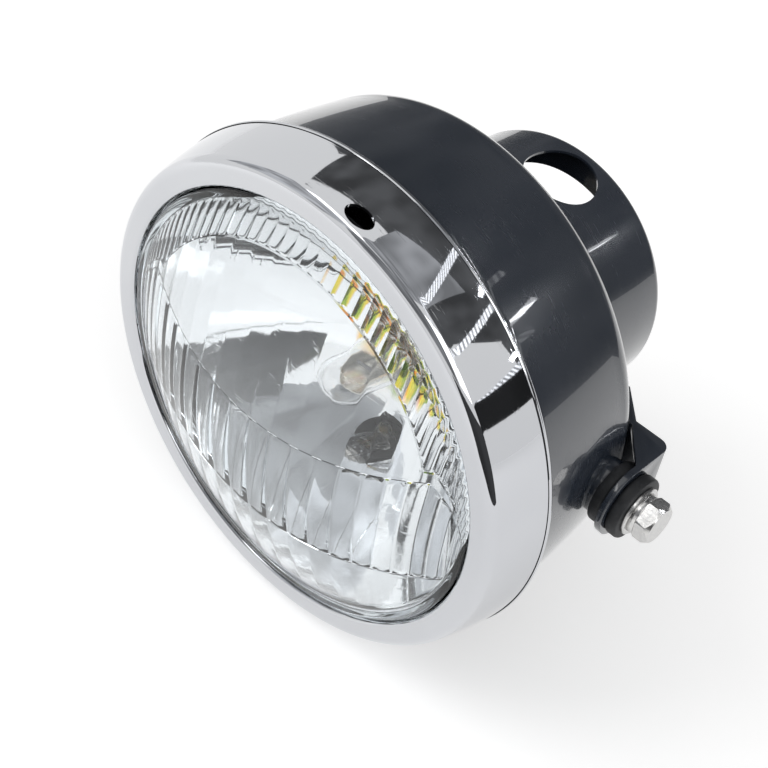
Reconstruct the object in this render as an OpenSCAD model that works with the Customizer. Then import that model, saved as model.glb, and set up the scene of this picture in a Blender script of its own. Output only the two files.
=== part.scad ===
// Round motorcycle headlight: a painted steel bucket with a rear cable cup, a chromed rim,
// a fluted glass lens on a parabolic reflector, and a rubber-mounted bolt on each side.
// The lamp faces -Y, +Z is up, and the origin is where the side bolts' axis crosses the beam axis.
// A profile is a list of [radius, forward] points. Forward is measured from the origin along -Y.

/* [Rim] */
// Diameter over the rim's rear edge
rim_d = 178; // [174:0.5:182]
// Rear edge of the rim, forward of the side bolts
rim_back = 35; // [34:0.5:38]
// Depth of the rim from its rear edge to its flat face
rim_depth = 22.5; // [21.5:0.5:26]
// Lean of the band, from its rear edge in to the flat face
band_lean = 7.5; // [6.5:0.25:8.5]
// Width of the flat face, in to the opening that shows the lens
face_w = 5.5; // [5:0.25:7]
// Radius of the rim's rounded front edge
rim_round = 4; // [3:0.25:4.5]
// Radius where the face turns in to the opening
opening_round = 1.5; // [1.2:0.1:1.8]
// Thickness of the rim's sheet
rim_t = 1; // [0.8:0.1:1.1]
// Outward bow of the rim's band
rim_bow = 0.5; // [0:0.1:0.8]
// Thickness of the rolled hem at the rear edge
hem_d = 2.2; // [2:0.1:2.4]
// Diameter of the hole punched through the band
rim_hole_d = 10; // [8:0.5:12]
// Centre of that hole behind the flat face
rim_hole_set = 5; // [5:0.25:6.5]
// Turn of that hole from the top of the rim
rim_hole_angle = 9; // [-20:1:20]

/* [Lens] */
// Height of the lens dome over its seat
lens_sag = 20; // [17:0.5:22]
// Thickness of the glass dome
lens_t = 4; // [3.5:0.1:4.5]
// Width of the lens edge that lies under the rim
lens_lap = 3.5; // [3:0.1:3.8]
// Depth of the lens edge behind its seat
skirt_depth = 5; // [4:0.25:6]
// Thickness of the rubber between rim and lens
gasket_t = 1.5; // [1.2:0.1:2]
// Flutes side by side across the lens
flutes = 26; // [20:2:28]
// Height of the ribs in the wide upper field
flute_depth = 1.2; // [0.6:0.1:1.5]
// Width of the outer ring of fine flutes
ring_w = 14; // [10:0.5:16]
// Height of the line across the middle of the pattern
mid_line = 8; // [4:1:12]
// Depth of the lower line under the beam axis
low_line = 33; // [28:1:38]
// Rise of both lines from the centre to the sides
line_rise = 18; // [0:1:20]

/* [Reflector] */
// Depth of the mirror, from its mouth to its vertex
mirror_depth = 59.4; // [57:0.2:61]
// Thickness of the reflector's sheet
reflector_t = 0.8; // [0.6:0.1:1]
// Thickness of the sealant under the lens edge
sealant_t = 0.8; // [0.5:0.1:1]
// Width of the seat under the lens edge and its sealant
seat_w = 6; // [5.5:0.1:6.5]
// Height of the lip round that seat
seat_lip = 2; // [1:0.25:3]
// Inside diameter of the neck that holds the main bulb
neck_d = 44; // [42:0.5:46]
// Length of that neck behind the mirror
neck_l = 7; // [5:0.5:9]
// Diameter of the bulb hole in the neck
bulb_hole_d = 38; // [36:0.5:39]
// Distance of the pilot bulb under the beam axis
pilot_drop = 42; // [40:1:48]
// Diameter of the pilot bulb hole
pilot_hole_d = 15; // [13:0.5:16]
// Width of a spring clip that holds the reflector
clip_w = 10; // [8:0.5:14]
// Thickness of the clips' spring steel
clip_t = 0.8; // [0.6:0.1:1]

/* [Bulbs] */
// Diameter of the main bulb's glass
bulb_d = 17; // [16:0.5:18]
// Reach of the main bulb in front of its flange
bulb_reach = 52; // [48:1:56]
// Diameter of the main bulb's metal sleeve
sleeve_d = 22; // [20:0.5:24]
// Length of that sleeve in front of the flange
sleeve_l = 17; // [15:0.5:19]
// Gap between that sleeve and the dipped-beam shield
shield_set = 12; // [10:0.5:14]
// Length of the dipped-beam shield
shield_l = 12; // [10:0.5:14]
// Depth of the bulb's glass in its sleeve
glass_seat = 4; // [3:0.5:6]
// Thickness of the bulb's flange
flange_t = 0.8; // [0.6:0.1:1]
// Diameter of the bulb's plug behind the flange
plug_d = 24; // [22:0.5:26]
// Length of that plug
plug_l = 12; // [10:0.5:14]
// Thickness of the rubber dust boot
boot_t = 2; // [1.5:0.1:2.5]
// Width of the connector block
connector_w = 26; // [22:1:28]
// Depth of the connector block
connector_l = 16; // [12:1:18]
// Diameter of the pilot bulb's glass
pilot_d = 8.6; // [8:0.2:9]
// Length of the pilot bulb's glass in front of its holder
pilot_reach = 14; // [10:1:16]
// Length of the pilot bulb's tube behind the mirror
pilot_tube_l = 14; // [12:0.5:16]

/* [Bucket] */
// Thickness of the bucket's sheet
bucket_t = 1; // [0.8:0.1:1.2]
// Room between the rim's rear edge and the bucket's side
rim_gap = 3.1; // [2.9:0.1:4]
// Taper of the bucket's side, from the rim to its rear shoulder
bucket_taper = 3.2; // [2:0.1:4.5]
// Start of the rear shoulder, behind the side bolts
shoulder_set = 7; // [5:0.5:9]
// Radius of the rear shoulder
shoulder_round = 9; // [7:0.5:11]
// Slope of the bucket's back
back_slope = 15; // [12:1:18]
// Outward bow of the bucket's side
bucket_bow = 0.5; // [0:0.1:0.8]
// Step of the joggle, from the bucket's side in to its lip
joggle = 3.1; // [2.8:0.1:3.4]
// Front edge of the lip, forward of the rim's rear edge
lip_reach = 7; // [6.5:0.25:8]
// Front end of the joggle, forward of the rim's rear edge
joggle_l = 3.5; // [3:0.1:4]
// Width of the rubber seal in front of the joggle
seal_w = 2.5; // [2:0.1:2.5]

/* [Cable cup] */
// Outside diameter of the cable cup
cup_d = 98; // [90:1:98]
// Rear face of the cup, behind the side bolts
cup_back = 75; // [72:0.5:80]
// Thickness of the cup's sheet
cup_t = 1; // [0.8:0.1:1.2]
// Radius of the cup's rear edge
cup_round = 4; // [3:0.25:5]
// Width of the rear wall round the cable opening
rear_wall_w = 13; // [10:0.5:16]
// Diameter of the hole in the top of the cup
top_hole_d = 26; // [22:1:30]
// Metal left between that hole and the rear face
top_hole_edge = 5.5; // [4.5:0.25:8]
// Turn of that hole from the top of the cup
top_hole_angle = 8; // [-15:1:15]
// Width of the cup's welded flange on the bucket's back
cup_flange = 6; // [5:0.5:8]
// Radius between that flange and the cup's wall
cup_fillet = 3; // [2:0.25:4]
// Width of the bucket's back left inside the cup, round the hole that joins them
hole_lap = 5; // [3:0.5:8]

/* [Side mounts] */
// Diameter of the boss on the bucket's side
boss_d = 19; // [17:0.5:20]
// Height of the boss over the bucket's side
boss_h = 2.5; // [2:0.25:4]
// Diameter of the boss's nut barrel
barrel_d = 14; // [13:0.5:15]
// Length of that barrel inside the bucket
barrel_l = 7; // [6:0.5:9]
// Diameter of the side bolts
bolt_d = 8; // [8:1:8]
// Length of a side bolt under its head
bolt_l = 30; // [26:1:32]
// Height of a bolt's head
head_h = 5.3; // [5:0.1:5.6]
// Width across the flats of a bolt's head
head_af = 13; // [12.5:0.1:13.5]
// Diameter of the rubber grommet
grommet_d = 22; // [20:0.5:24]
// Thickness of each of the grommet's flanges
grommet_flange = 4.5; // [4:0.25:5]
// Diameter of the grommet in its groove
grommet_neck_d = 15; // [14:0.5:16]
// Outside diameter of the steel sleeve in the grommet
spacer_d = 11; // [10.5:0.1:11.5]
// Diameter of the plain washer
washer_d = 17; // [16:0.5:18]
// Thickness of the plain washer
washer_t = 1.2; // [1:0.1:1.6]
// Diameter of the spring washer
spring_d = 14; // [13:0.5:15]
// Thickness of the spring washer
spring_t = 2; // [1.6:0.1:2.2]
// Thickness of the stay's steel
stay_t = 2.3; // [2:0.1:2.6]
// Half the height of the stay
stay_h = 12.6; // [12:0.2:14]
// Rear corner of the stay, behind the side bolts
stay_back = 18.6; // [18:0.2:21]
// Radius of the stay's bends
stay_round = 4; // [3:0.25:5]
// Length of the stay's flat beside the bucket's shoulder
stay_flat = 14; // [13:0.5:16]
// Length of the stay's tab
tab_l = 17; // [16:0.5:18]
// Distance of the mounting hole from the tab's end
tab_edge = 9; // [8:0.5:10]
// Diameter of the stay's mounting hole
stay_hole_d = 8.5; // [8.4:0.1:9]
// How far the stay's tab lies behind its rear corner
stay_step = 11; // [9:0.5:13]

/* [Hidden] */
$fn = 120;

// Room left between pieces that are pushed together
fit = 0.1;
// Room left round a screw in its hole
screw_gap = 0.2;
// Overlap of a cutter past the face that it opens
past = 1;

rim_r = rim_d / 2;
face_r = rim_r - band_lean;
opening_r = face_r - face_w;
rim_face = rim_back + rim_depth;

// The rim's band runs straight from its rear edge to the rounded front edge, plus its bow
edge_centre = [face_r, rim_face - rim_round];
band_end = [rim_r, rim_back];
band_reach = norm(band_end - edge_centre);
band_angle = atan2(band_end[1] - edge_centre[1], band_end[0] - edge_centre[0])
    + acos(rim_round / band_reach);
band_start = edge_centre + rim_round * [cos(band_angle), sin(band_angle)];
// Radius of the rim's outer face at a forward distance
function rim_outer(f) =
    let (s = (f - band_end[1]) / (band_start[1] - band_end[1]))
    rim_r + (band_start[0] - rim_r) * s + rim_bow * 4 * s * (1 - s);
function rim_inner(f) = rim_outer(f) - rim_t / cos(band_angle);

// The lens seats on the rubber behind the rim's face
seat = rim_face - rim_t - gasket_t;
lens_r = opening_r + lens_lap;
apex = seat + lens_sag;
dome_edge_r = opening_r - 2 * fit;
dome_radius = (pow(dome_edge_r, 2) + pow(lens_sag, 2)) / (2 * lens_sag);
dome_centre = apex - dome_radius;
skirt = seat - skirt_depth;
cavity_r = opening_r - 0.5;
columns = 4 * flutes;
arc_r = opening_r - ring_w;
// Rows of the pattern in each field, columns to a flute, and rib height, from the bottom up
field_rows = [3, 3, 4, 2];
field_period = [4, 8, 4, 2];
field_depth = [flute_depth / 3, flute_depth * 4 / 3, flute_depth, flute_depth / 2];
// Width of the step between two fields
field_step = 0.4;

// The reflector's flange carries the lens edge on a bed of sealant
flange_f = skirt - sealant_t;
mouth_r = cavity_r;
vertex = flange_f - mirror_depth;
focal = pow(mouth_r, 2) / (4 * mirror_depth);
neck_r = neck_d / 2;
neck_outer = neck_r + reflector_t;
neck_front = vertex + pow(neck_r, 2) / (4 * focal);
neck_back = neck_front - neck_l;
reflector_r = mouth_r + seat_w;
pilot_f = vertex + pow(pilot_drop, 2) / (4 * focal);
pilot_r = pilot_hole_d / 2;
pilot_back = pilot_f - pilot_tube_l;
// Where the pilot bulb's tube has passed the mirror all round
pilot_front = vertex + pow(pilot_drop + pilot_r + reflector_t, 2) / (4 * focal) + past;
clip_foot = flange_f - reflector_t - fit;

bulb_flange = neck_back - reflector_t - fit;
bulb_tip = bulb_flange + bulb_reach;
plug_back = bulb_flange - flange_t - plug_l;

bucket_front = rim_back - 1;
bucket_front_r = rim_r - rim_gap;
lip_r = bucket_front_r - joggle;
lip_front = rim_back + lip_reach;
bucket_back_r = bucket_front_r - bucket_taper;
// Radius of the bucket's outer face at a forward distance
function bucket_outer(f) =
    let (s = (f + shoulder_set) / (bucket_front + shoulder_set))
    bucket_back_r + (bucket_front_r - bucket_back_r) * s + bucket_bow * 4 * s * (1 - s);
shoulder_centre = [bucket_back_r - shoulder_round, -shoulder_set];
shoulder_end = shoulder_centre + shoulder_round * [sin(back_slope), -cos(back_slope)];
// Place of the bucket's back at a radius
function back_f(r) = shoulder_end[1] - (shoulder_end[0] - r) * tan(back_slope);

cup_r = cup_d / 2;
cable_r = cup_r - rear_wall_w;
back_hole_r = cup_r - hole_lap;
// Rear face of the cup's flange at a radius, one sheet behind the bucket's back
function cup_flange_f(r) = back_f(r) - (fit + cup_t) / cos(back_slope);
fillet_start = cup_r + cup_fillet * (1 - sin(back_slope));
fillet_centre = [cup_r + cup_fillet, cup_flange_f(fillet_start) - cup_fillet * cos(back_slope)];
top_hole_f = top_hole_d / 2 + top_hole_edge - cup_back;

barrel_r = barrel_d / 2;
boss_face = bucket_outer(0) + boss_h;
stay_x = boss_face + fit + grommet_flange;
grommet_end = stay_x + stay_t + grommet_flange;
washer_x = grommet_end + fit;
spring_x = washer_x + washer_t;
head_x = spring_x + spring_t;
thread_r = bolt_d / 2 - fit;
stay_outer = stay_x + stay_t;
stay_bend_x = stay_outer - stay_flat;
stay_end_x = stay_bend_x - stay_step - tab_l;
stay_hole_x = stay_end_x + tab_edge;

// The plug's three blades, and the room round them in the connector
blade_w = 7.8;
blade_l = 8;
blade_t = 0.8;
blade_gap = 0.3;
blade_ring = 7;
blade_side = -3;

// The pilot bulb's metal base, the contact under it, and the flange of its holder
base_t = 0.4;
base_lap = 2;
pilot_glass_t = 0.7;
contact_r = 2;
contact_h = 1;
holder_t = 3;
holder_lap = 2.5;
holder_set = 4;

shield_t = 0.5;
glass_gap = 2;
post_w = 3;
screw_f = lip_front + 3.5;
screw_d = 4;
tab_r = lip_r - bucket_t - fit;
tab_t = 1.2;
hook_t = 1;

// Geometry helpers
function unit(v) = v / norm(v);
function left_of(v) = [-v[1], v[0]];
function miter(p, i) =
    let (a = i == 0 ? p[1] - p[0] : p[i] - p[i - 1])
    let (b = i == len(p) - 1 ? a : p[i + 1] - p[i])
    let (n = unit(left_of(unit(a)) + left_of(unit(b))))
    n / (n * left_of(unit(a)));
// Outline of a sheet with one face on the line p and its thickness t to the left of it
function sheet(p, t) = concat(p, [for (i = [len(p) - 1 : -1 : 0]) p[i] + t * miter(p, i)]);
function arc(centre, radius, from, to, steps) =
    [for (i = [0 : steps]) let (a = from + (to - from) * i / steps) centre + radius * [cos(a), sin(a)]];

// Turns a profile round the beam axis
module turned(profile, angle = 360) {
    rotate([90, 0, 0]) rotate_extrude(angle = angle) polygon(profile);
}

// Cylinder on the beam axis between two forward distances
module axial(r, from, to) {
    translate([0, -from, 0]) rotate([90, 0, 0]) cylinder(r = r, h = to - from);
}

// Cylinder along +X on the side bolts' axis
module across(r, from, to) {
    translate([from, 0, 0]) rotate([0, 90, 0]) cylinder(r = r, h = to - from);
}

// Upright cylinder at a forward distance, turned round the beam axis by an angle from the top
module radial(r, from, to, forward, angle) {
    rotate([0, angle, 0]) translate([0, -forward, from]) cylinder(r = r, h = to - from);
}

function rim_line() = concat(
    [[opening_r, seat + 3 * fit]],
    arc([opening_r + opening_round, rim_face - opening_round], opening_round, 180, 90, 5),
    arc(edge_centre, rim_round, 90, band_angle, 8),
    [for (s = [0.8 : -0.2 : 0.2])
        let (f = rim_back + (band_start[1] - rim_back) * s) [rim_outer(f), f]],
    [band_end]
);

// Chromed rim, drawn from one sheet, with a rolled hem and a punched hole
module headlight_rim() {
    color("gainsboro") difference() {
        union() {
            turned(sheet(rim_line(), -rim_t));
            translate([0, -rim_back - hem_d / 2, 0]) rotate([90, 0, 0]) rotate_extrude()
                translate([rim_r - hem_d / 2 + 0.3, 0]) circle(r = hem_d / 2, $fn = 32);
        }
        radial(rim_hole_d / 2, face_r - 10, rim_r + past, rim_face - rim_hole_set, rim_hole_angle);
        radial(screw_d / 2 + screw_gap, lip_r, rim_r + past, screw_f, 180);
    }
}

// Steel hook welded inside the top of the rim, which hangs on the bucket's lip
module rim_hook() {
    top = lip_front + 3;
    finger = lip_r - bucket_t - hook_t - 3 * fit;
    line = [
        [finger, lip_front - 5], [finger, top],
        [rim_inner(top) - 2 * fit, top], [rim_inner(top - 3) - 2 * fit, top - 3]
    ];
    color("silver") rotate([0, 5, 0]) rotate([0, -90, 0]) turned(sheet(line, -hook_t), 10);
}

// Screw at the bottom of the rim
module rim_screw() {
    head_r = screw_d * 0.85;
    under = rim_outer(screw_f - head_r) + fit;
    color("silver") rotate([0, 180, 0]) translate([0, -screw_f, 0]) difference() {
        union() {
            translate([0, 0, under]) cylinder(r = head_r, h = 1.1);
            translate([0, 0, tab_r - 2]) cylinder(r = screw_d / 2 - fit, h = under - tab_r + 2.5);
        }
        translate([-screw_d, -0.4, under + 0.6]) cube([2 * screw_d, 0.8, 1]);
    }
}

// Joggled tab, welded inside the bucket's lip, with a thin weld nut that takes that screw
module rim_nut_tab() {
    top = rim_inner(screw_f + 3) - 3 * fit;
    line = [[tab_r, rim_back], [tab_r, lip_front + 3 * fit], [top, lip_front + 8 * fit], [top, screw_f + 3]];
    color("silver") difference() {
        union() {
            rotate([0, 180 + 5, 0]) rotate([0, -90, 0]) turned(sheet(line, tab_t), 10);
            radial(screw_d * 0.75, top - tab_t - 1.4, top - tab_t / 2, screw_f, 180);
        }
        radial(screw_d / 2, tab_r - 5, rim_r, screw_f, 180);
    }
}

// Rubber ring between the bucket's joggle and the rim's band
module rim_seal() {
    inner = lip_r + fit;
    back = rim_back + joggle_l;
    front = back + seal_w;
    color("dimgray") turned([
        [inner, back], [inner, front], [rim_inner(front) - fit, front], [rim_inner(back) - fit, back]
    ]);
}

function column_x(i) = cavity_r * sin(180 * i / columns - 90);
function chord(x) = sqrt(cavity_r * cavity_r - x * x);
// Heights at which the pattern changes from field to field in the column at x
function field_edges(x) =
    let (h = chord(x), rise = line_rise * pow(x / cavity_r, 2))
    let (low = max(min(rise - low_line, 0.2 * h), -0.8 * h))
    let (mid = min(rise + mid_line, 0.5 * h))
    let (ring = max(min(sqrt(max(0, arc_r * arc_r - x * x)), 0.9 * h), mid + 0.1 * h))
    [-h, low, mid, ring, h];
// Back of the glass in field k, column i, at height z
function flute_point(i, k, z) =
    let (x = column_x(i), t = (i % field_period[k]) / field_period[k])
    let (rib = field_depth[k] * (1 - pow(2 * t - 1, 2)) * (0.25 + 0.75 * chord(x) / cavity_r))
    [x, rib - dome_centre - sqrt(pow(dome_radius - lens_t, 2) - x * x - z * z), z];
function flute_column(i) =
    let (x = column_x(i), e = field_edges(x), step = min(field_step, 0.02 * chord(x)))
    [for (k = [0 : 3]) for (s = [0 : field_rows[k]])
        let (from = e[k] + (k == 0 ? 0 : step))
        flute_point(i, k, from + (e[k + 1] - from) * s / field_rows[k])];

// Space behind the fluted back of the lens, out to its skirt
module fluted_cavity() {
    inner = [for (i = [1 : columns - 1]) each flute_column(i)];
    rows = len(flute_column(columns / 2));
    last = rows - 1;
    left = len(inner);
    right = left + 1;
    front = concat(inner, [flute_point(0, 2, 0), flute_point(columns, 2, 0)]);
    loop = concat(
        [left], [for (i = [0 : columns - 2]) i * rows + last],
        [right], [for (i = [columns - 2 : -1 : 0]) i * rows]
    );
    n = len(loop);
    base = len(front);
    rear = [for (j = loop) [front[j][0], past - skirt, front[j][2]]];
    faces = concat(
        [for (i = [0 : columns - 3]) for (r = [0 : last - 1])
            [i * rows + r, i * rows + r + 1, (i + 1) * rows + r + 1]],
        [for (i = [0 : columns - 3]) for (r = [0 : last - 1])
            [i * rows + r, (i + 1) * rows + r + 1, (i + 1) * rows + r]],
        [for (r = [0 : last - 1]) [left, r + 1, r]],
        [for (r = [0 : last - 1]) let (c = (columns - 2) * rows) [c + r, c + r + 1, right]],
        [for (j = [0 : n - 1]) [loop[(j + 1) % n], loop[j], base + j, base + (j + 1) % n]],
        [[for (j = [n - 1 : -1 : 0]) base + j]]
    );
    polyhedron(points = concat(front, rear), faces = faces, convexity = 10);
}

// Pressed glass lens: a smooth dome in front and vertical flutes in four fields behind
module lens() {
    color("white", 0.4) difference() {
        union() {
            intersection() {
                translate([0, -dome_centre, 0]) sphere(r = dome_radius, $fn = 240);
                axial(dome_edge_r, skirt, apex + past);
            }
            axial(lens_r, skirt, seat);
        }
        fluted_cavity();
    }
}

// Rubber ring between the rim's face and the lens, and round the lens's edge
module lens_gasket() {
    wall = 1.2;
    inner = opening_r + opening_round + fit;
    color("dimgray") turned([
        [inner, seat], [lens_r + fit, seat], [lens_r + fit, skirt],
        [lens_r + fit + wall, skirt], [lens_r + fit + wall, rim_face - rim_t - fit],
        [inner, rim_face - rim_t - fit]
    ]);
}

// Bead of sealant between the lens's edge and the reflector's seat
module lens_sealant() {
    inner = mouth_r + reflector_t;
    color("tan") turned([[inner, flange_f], [lens_r, flange_f], [lens_r, skirt], [inner, skirt]]);
}

function mirror_line(step) =
    [for (r = [neck_r : (mouth_r - neck_r) / step : mouth_r + 0.001]) [r, vertex + r * r / (4 * focal)]];

// Aluminised reflector: a parabola with a neck for the main bulb and a tube for the pilot bulb
module reflector() {
    line = concat(
        [[bulb_hole_d / 2, neck_back], [neck_r, neck_back]],
        mirror_line(24),
        [[reflector_r, flange_f], [reflector_r, flange_f + seat_lip]]
    );
    color("silver") difference() {
        union() {
            turned(sheet(line, -reflector_t));
            difference() {
                translate([0, -pilot_back, -pilot_drop]) rotate([90, 0, 0])
                    cylinder(r = pilot_r + reflector_t, h = pilot_front - pilot_back);
                turned(concat([[0, vertex]], mirror_line(24), [[mouth_r, flange_f + past], [0, flange_f + past]]));
            }
        }
        translate([0, past - pilot_back, -pilot_drop]) rotate([90, 0, 0])
            cylinder(r = pilot_r, h = pilot_front - pilot_back + 2 * past);
    }
}

// Spring clip that presses the reflector's flange forward from the inside of the rim
module reflector_clip(angle) {
    wall = clip_foot - 3;
    line = [
        [reflector_r - 4, clip_foot], [reflector_r - 1, clip_foot],
        [rim_inner(wall) - 2 * fit - 1.5, wall + 0.5], [rim_inner(wall) - 2 * fit, wall],
        [rim_inner(wall - 3) - 2 * fit, wall - 3]
    ];
    spread = clip_w / rim_r * 180 / PI;
    color("silver") rotate([0, angle + spread / 2, 0]) rotate([0, -90, 0]) turned(sheet(line, -clip_t), spread);
}

module reflector_clip_1() { reflector_clip(45); }
module reflector_clip_2() { reflector_clip(135); }
module reflector_clip_3() { reflector_clip(225); }
module reflector_clip_4() { reflector_clip(315); }

// Glass of the main bulb, hollow, with a round tip
module bulb_glass() {
    r = bulb_d / 2;
    foot = bulb_flange + sleeve_l - glass_seat;
    color("white", 0.4) turned(concat(
        [[r - 1, foot], [r, foot], [r, bulb_tip - r]],
        arc([0, bulb_tip - r], r, 15, 90, 6),
        arc([0, bulb_tip - r], r - 1, 90, 15, 6),
        [[r - 1, bulb_tip - r]]
    ));
}

// Moves a blade or its slot to each of the three places behind the plug
module at_blades(back) {
    for (p = [[0, blade_ring, 0], [-blade_ring - past, blade_side, 90], [blade_ring + past, blade_side, 90]])
        translate([p[0], -back, p[1]]) rotate([0, p[2], 0]) children();
}

// Metal cap of the main bulb: a sleeve, the flange that seats on the neck, and the plug
module bulb_cap() {
    sleeve_r = sleeve_d / 2;
    front = bulb_flange + sleeve_l;
    color("silver") {
        turned([
            [0, plug_back], [plug_d / 2, plug_back], [plug_d / 2, bulb_flange - flange_t],
            [neck_r - 0.5, bulb_flange - flange_t], [neck_r - 0.5, bulb_flange],
            [sleeve_r, bulb_flange], [sleeve_r, front - 6], [sleeve_r - 1, front - 5], [sleeve_r - 1, front],
            [bulb_d / 2 + fit, front], [bulb_d / 2 + fit, front - glass_seat - fit],
            [0, front - glass_seat - fit]
        ]);
        at_blades(plug_back)
            translate([-blade_w / 2, -past, -blade_t / 2]) cube([blade_w, blade_l + past, blade_t]);
    }
}

// Dipped-beam shield inside the glass: half a tube on a post
module bulb_shield() {
    foot = bulb_flange + sleeve_l - glass_seat;
    back = bulb_flange + sleeve_l + shield_set;
    front = back + shield_l;
    r = bulb_d / 2 - glass_gap;
    color("silver") {
        difference() {
            axial(r, back, front);
            axial(r - shield_t, back + shield_t, front + past);
            translate([-r - past, -front - past, 0]) cube([2 * (r + past), shield_l + 2 * past, r + past]);
        }
        translate([-post_w / 2, -back - shield_t, -r + shield_t]) cube([post_w, back - foot + shield_t, shield_t]);
    }
}

// Sprung ring that holds the bulb's flange on the neck
module bulb_retainer() {
    front = bulb_flange - flange_t - fit;
    color("silver") turned([[plug_d / 2 + 2, front - 0.8], [neck_r, front - 0.8], [neck_r, front], [plug_d / 2 + 2, front]]);
}

// Rubber boot from the neck to the bulb's plug, in two steps
module dust_boot() {
    grip = neck_outer + fit + boot_t;
    back = bulb_flange - flange_t - 3;
    nose = plug_d / 2 + fit + boot_t;
    line = concat(
        [[grip, neck_back + 5]],
        arc([grip - 2, back - 1], 2, 0, -90, 4),
        arc([nose + 2, back - 5], 2, 90, 180, 4),
        [[nose, plug_back + 1]]
    );
    color("dimgray") turned(sheet(line, -boot_t));
}

// Connector block pushed on the main bulb's blades
module bulb_connector() {
    front = plug_back - fit;
    w = connector_w;
    color("ivory") difference() {
        translate([-w / 2, -front, -w / 2 + 3]) cube([w, connector_l, w - 3]);
        at_blades(plug_back)
            translate([-blade_w / 2 - blade_gap, -past, -blade_t / 2 - blade_gap])
                cube([blade_w + 2 * blade_gap, blade_l + 2 * past, blade_t + 2 * blade_gap]);
        for (x = [-8, 0, 8])
            translate([x, -front + connector_l - 4, 0]) rotate([-90, 0, 0]) cylinder(r = 2, h = 5, $fn = 24);
    }
}

// Glass of the pilot bulb
module pilot_glass() {
    r = pilot_d / 2;
    tip = pilot_f + pilot_reach;
    color("white", 0.4) translate([0, 0, -pilot_drop]) turned(concat(
        [[r - pilot_glass_t, pilot_f - base_lap], [r, pilot_f - base_lap], [r, tip - r]],
        arc([0, tip - r], r, 15, 90, 6),
        arc([0, tip - r], r - pilot_glass_t, 90, 15, 6),
        [[r - pilot_glass_t, tip - r]]
    ));
}

// Metal base of the pilot bulb
module pilot_base() {
    r = pilot_d / 2 + base_t;
    wall = pilot_d / 2 + fit;
    foot = pilot_back - holder_t;
    color("silver") translate([0, 0, -pilot_drop]) turned([
        [0, foot - contact_h], [contact_r, foot - contact_h], [contact_r, foot], [r, foot],
        [r, pilot_f], [wall, pilot_f], [wall, pilot_f - base_lap - fit], [0, pilot_f - base_lap - fit]
    ]);
}

// Rubber holder that carries the pilot bulb in the reflector's tube
module pilot_holder() {
    r = pilot_r - fit;
    hole = pilot_d / 2 + base_t + fit;
    foot = pilot_back - holder_t;
    color("dimgray") translate([0, 0, -pilot_drop]) turned([
        [hole, foot], [pilot_r + holder_lap, foot], [pilot_r + holder_lap, pilot_back - fit],
        [r, pilot_back - fit], [r, pilot_f - holder_set], [hole, pilot_f - holder_set]
    ]);
}

function bucket_line() = concat(
    [[lip_r, lip_front], [lip_r, rim_back + joggle_l - 5 * fit], [bucket_front_r, bucket_front]],
    [for (s = [0.8 : -0.2 : 0.2])
        let (f = -shoulder_set + (bucket_front + shoulder_set) * s) [bucket_outer(f), f]],
    arc(shoulder_centre, shoulder_round, 0, back_slope - 90, 8),
    [[back_hole_r, back_f(back_hole_r)]]
);

// Painted bucket, drawn from one sheet, with a joggled lip and a wide hole under the cup
module bucket_shell() {
    color("#232b33") difference() {
        turned(sheet(bucket_line(), -bucket_t));
        across(barrel_r + fit, -rim_r, rim_r);
    }
}

// Painted cable cup, with a flange that is welded to the bucket's back
module cable_cup() {
    line = concat(
        [[cup_r + cup_flange, cup_flange_f(cup_r + cup_flange)]],
        arc(fillet_centre, cup_fillet, 90 + back_slope, 180, 5),
        arc([cup_r - cup_round, cup_round - cup_back], cup_round, 0, -90, 6),
        [[cable_r, -cup_back]]
    );
    color("#232b33") difference() {
        turned(sheet(line, -cup_t));
        radial(top_hole_d / 2, cup_r / 2, cup_r + past, top_hole_f, top_hole_angle);
    }
}

// Mirrors what belongs to the right side to the left side
module on_left() {
    mirror([1, 0, 0]) children();
}

// Weld boss with its nut barrel through the bucket's side
module side_boss() {
    color("#232b33") difference() {
        union() {
            difference() {
                across(boss_d / 2, bucket_outer(0) - 3, boss_face);
                turned([
                    [0, boss_d], [bucket_outer(boss_d) + 2 * fit, boss_d],
                    [bucket_back_r + 2 * fit, -shoulder_set], [bucket_back_r + 2 * fit, -boss_d], [0, -boss_d]
                ]);
            }
            across(barrel_r, bucket_outer(0) - barrel_l, boss_face - 1);
        }
        across(bolt_d / 2, 0, rim_r + boss_h);
    }
}

module side_boss_right() { side_boss(); }
module side_boss_left() { on_left() side_boss(); }

// Folded steel stay: an ear round the grommet, a gusset on top, and an arm to a drilled tab
module stay() {
    tab_y = stay_back + stay_step;
    line = concat(
        [[stay_outer, 0]],
        arc([stay_outer - stay_round, stay_back - stay_round], stay_round, 0, 90, 6),
        [[stay_bend_x, stay_back], [stay_bend_x - stay_step, tab_y], [stay_end_x, tab_y]]
    );
    gusset = concat(
        [[stay_outer, 3]],
        arc([stay_outer - stay_round, stay_back - stay_round], stay_round, 0, 90, 6),
        [[stay_bend_x, stay_back], [stay_bend_x, stay_back - stay_t], [stay_x - 2.5, 6], [stay_x, 3]]
    );
    color("#232b33") difference() {
        union() {
            translate([0, 0, -stay_h]) linear_extrude(2 * stay_h) polygon(sheet(line, stay_t));
            translate([0, 0, stay_h - stay_t]) linear_extrude(stay_t) polygon(gusset);
            across(stay_h, stay_x, stay_outer);
        }
        across(grommet_neck_d / 2 + fit, 0, rim_r + stay_h);
        translate([stay_hole_x, tab_y + past, 0]) rotate([90, 0, 0]) cylinder(r = stay_hole_d / 2, h = stay_t + 2 * past);
    }
}

module stay_right() { stay(); }
module stay_left() { on_left() stay(); }

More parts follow.
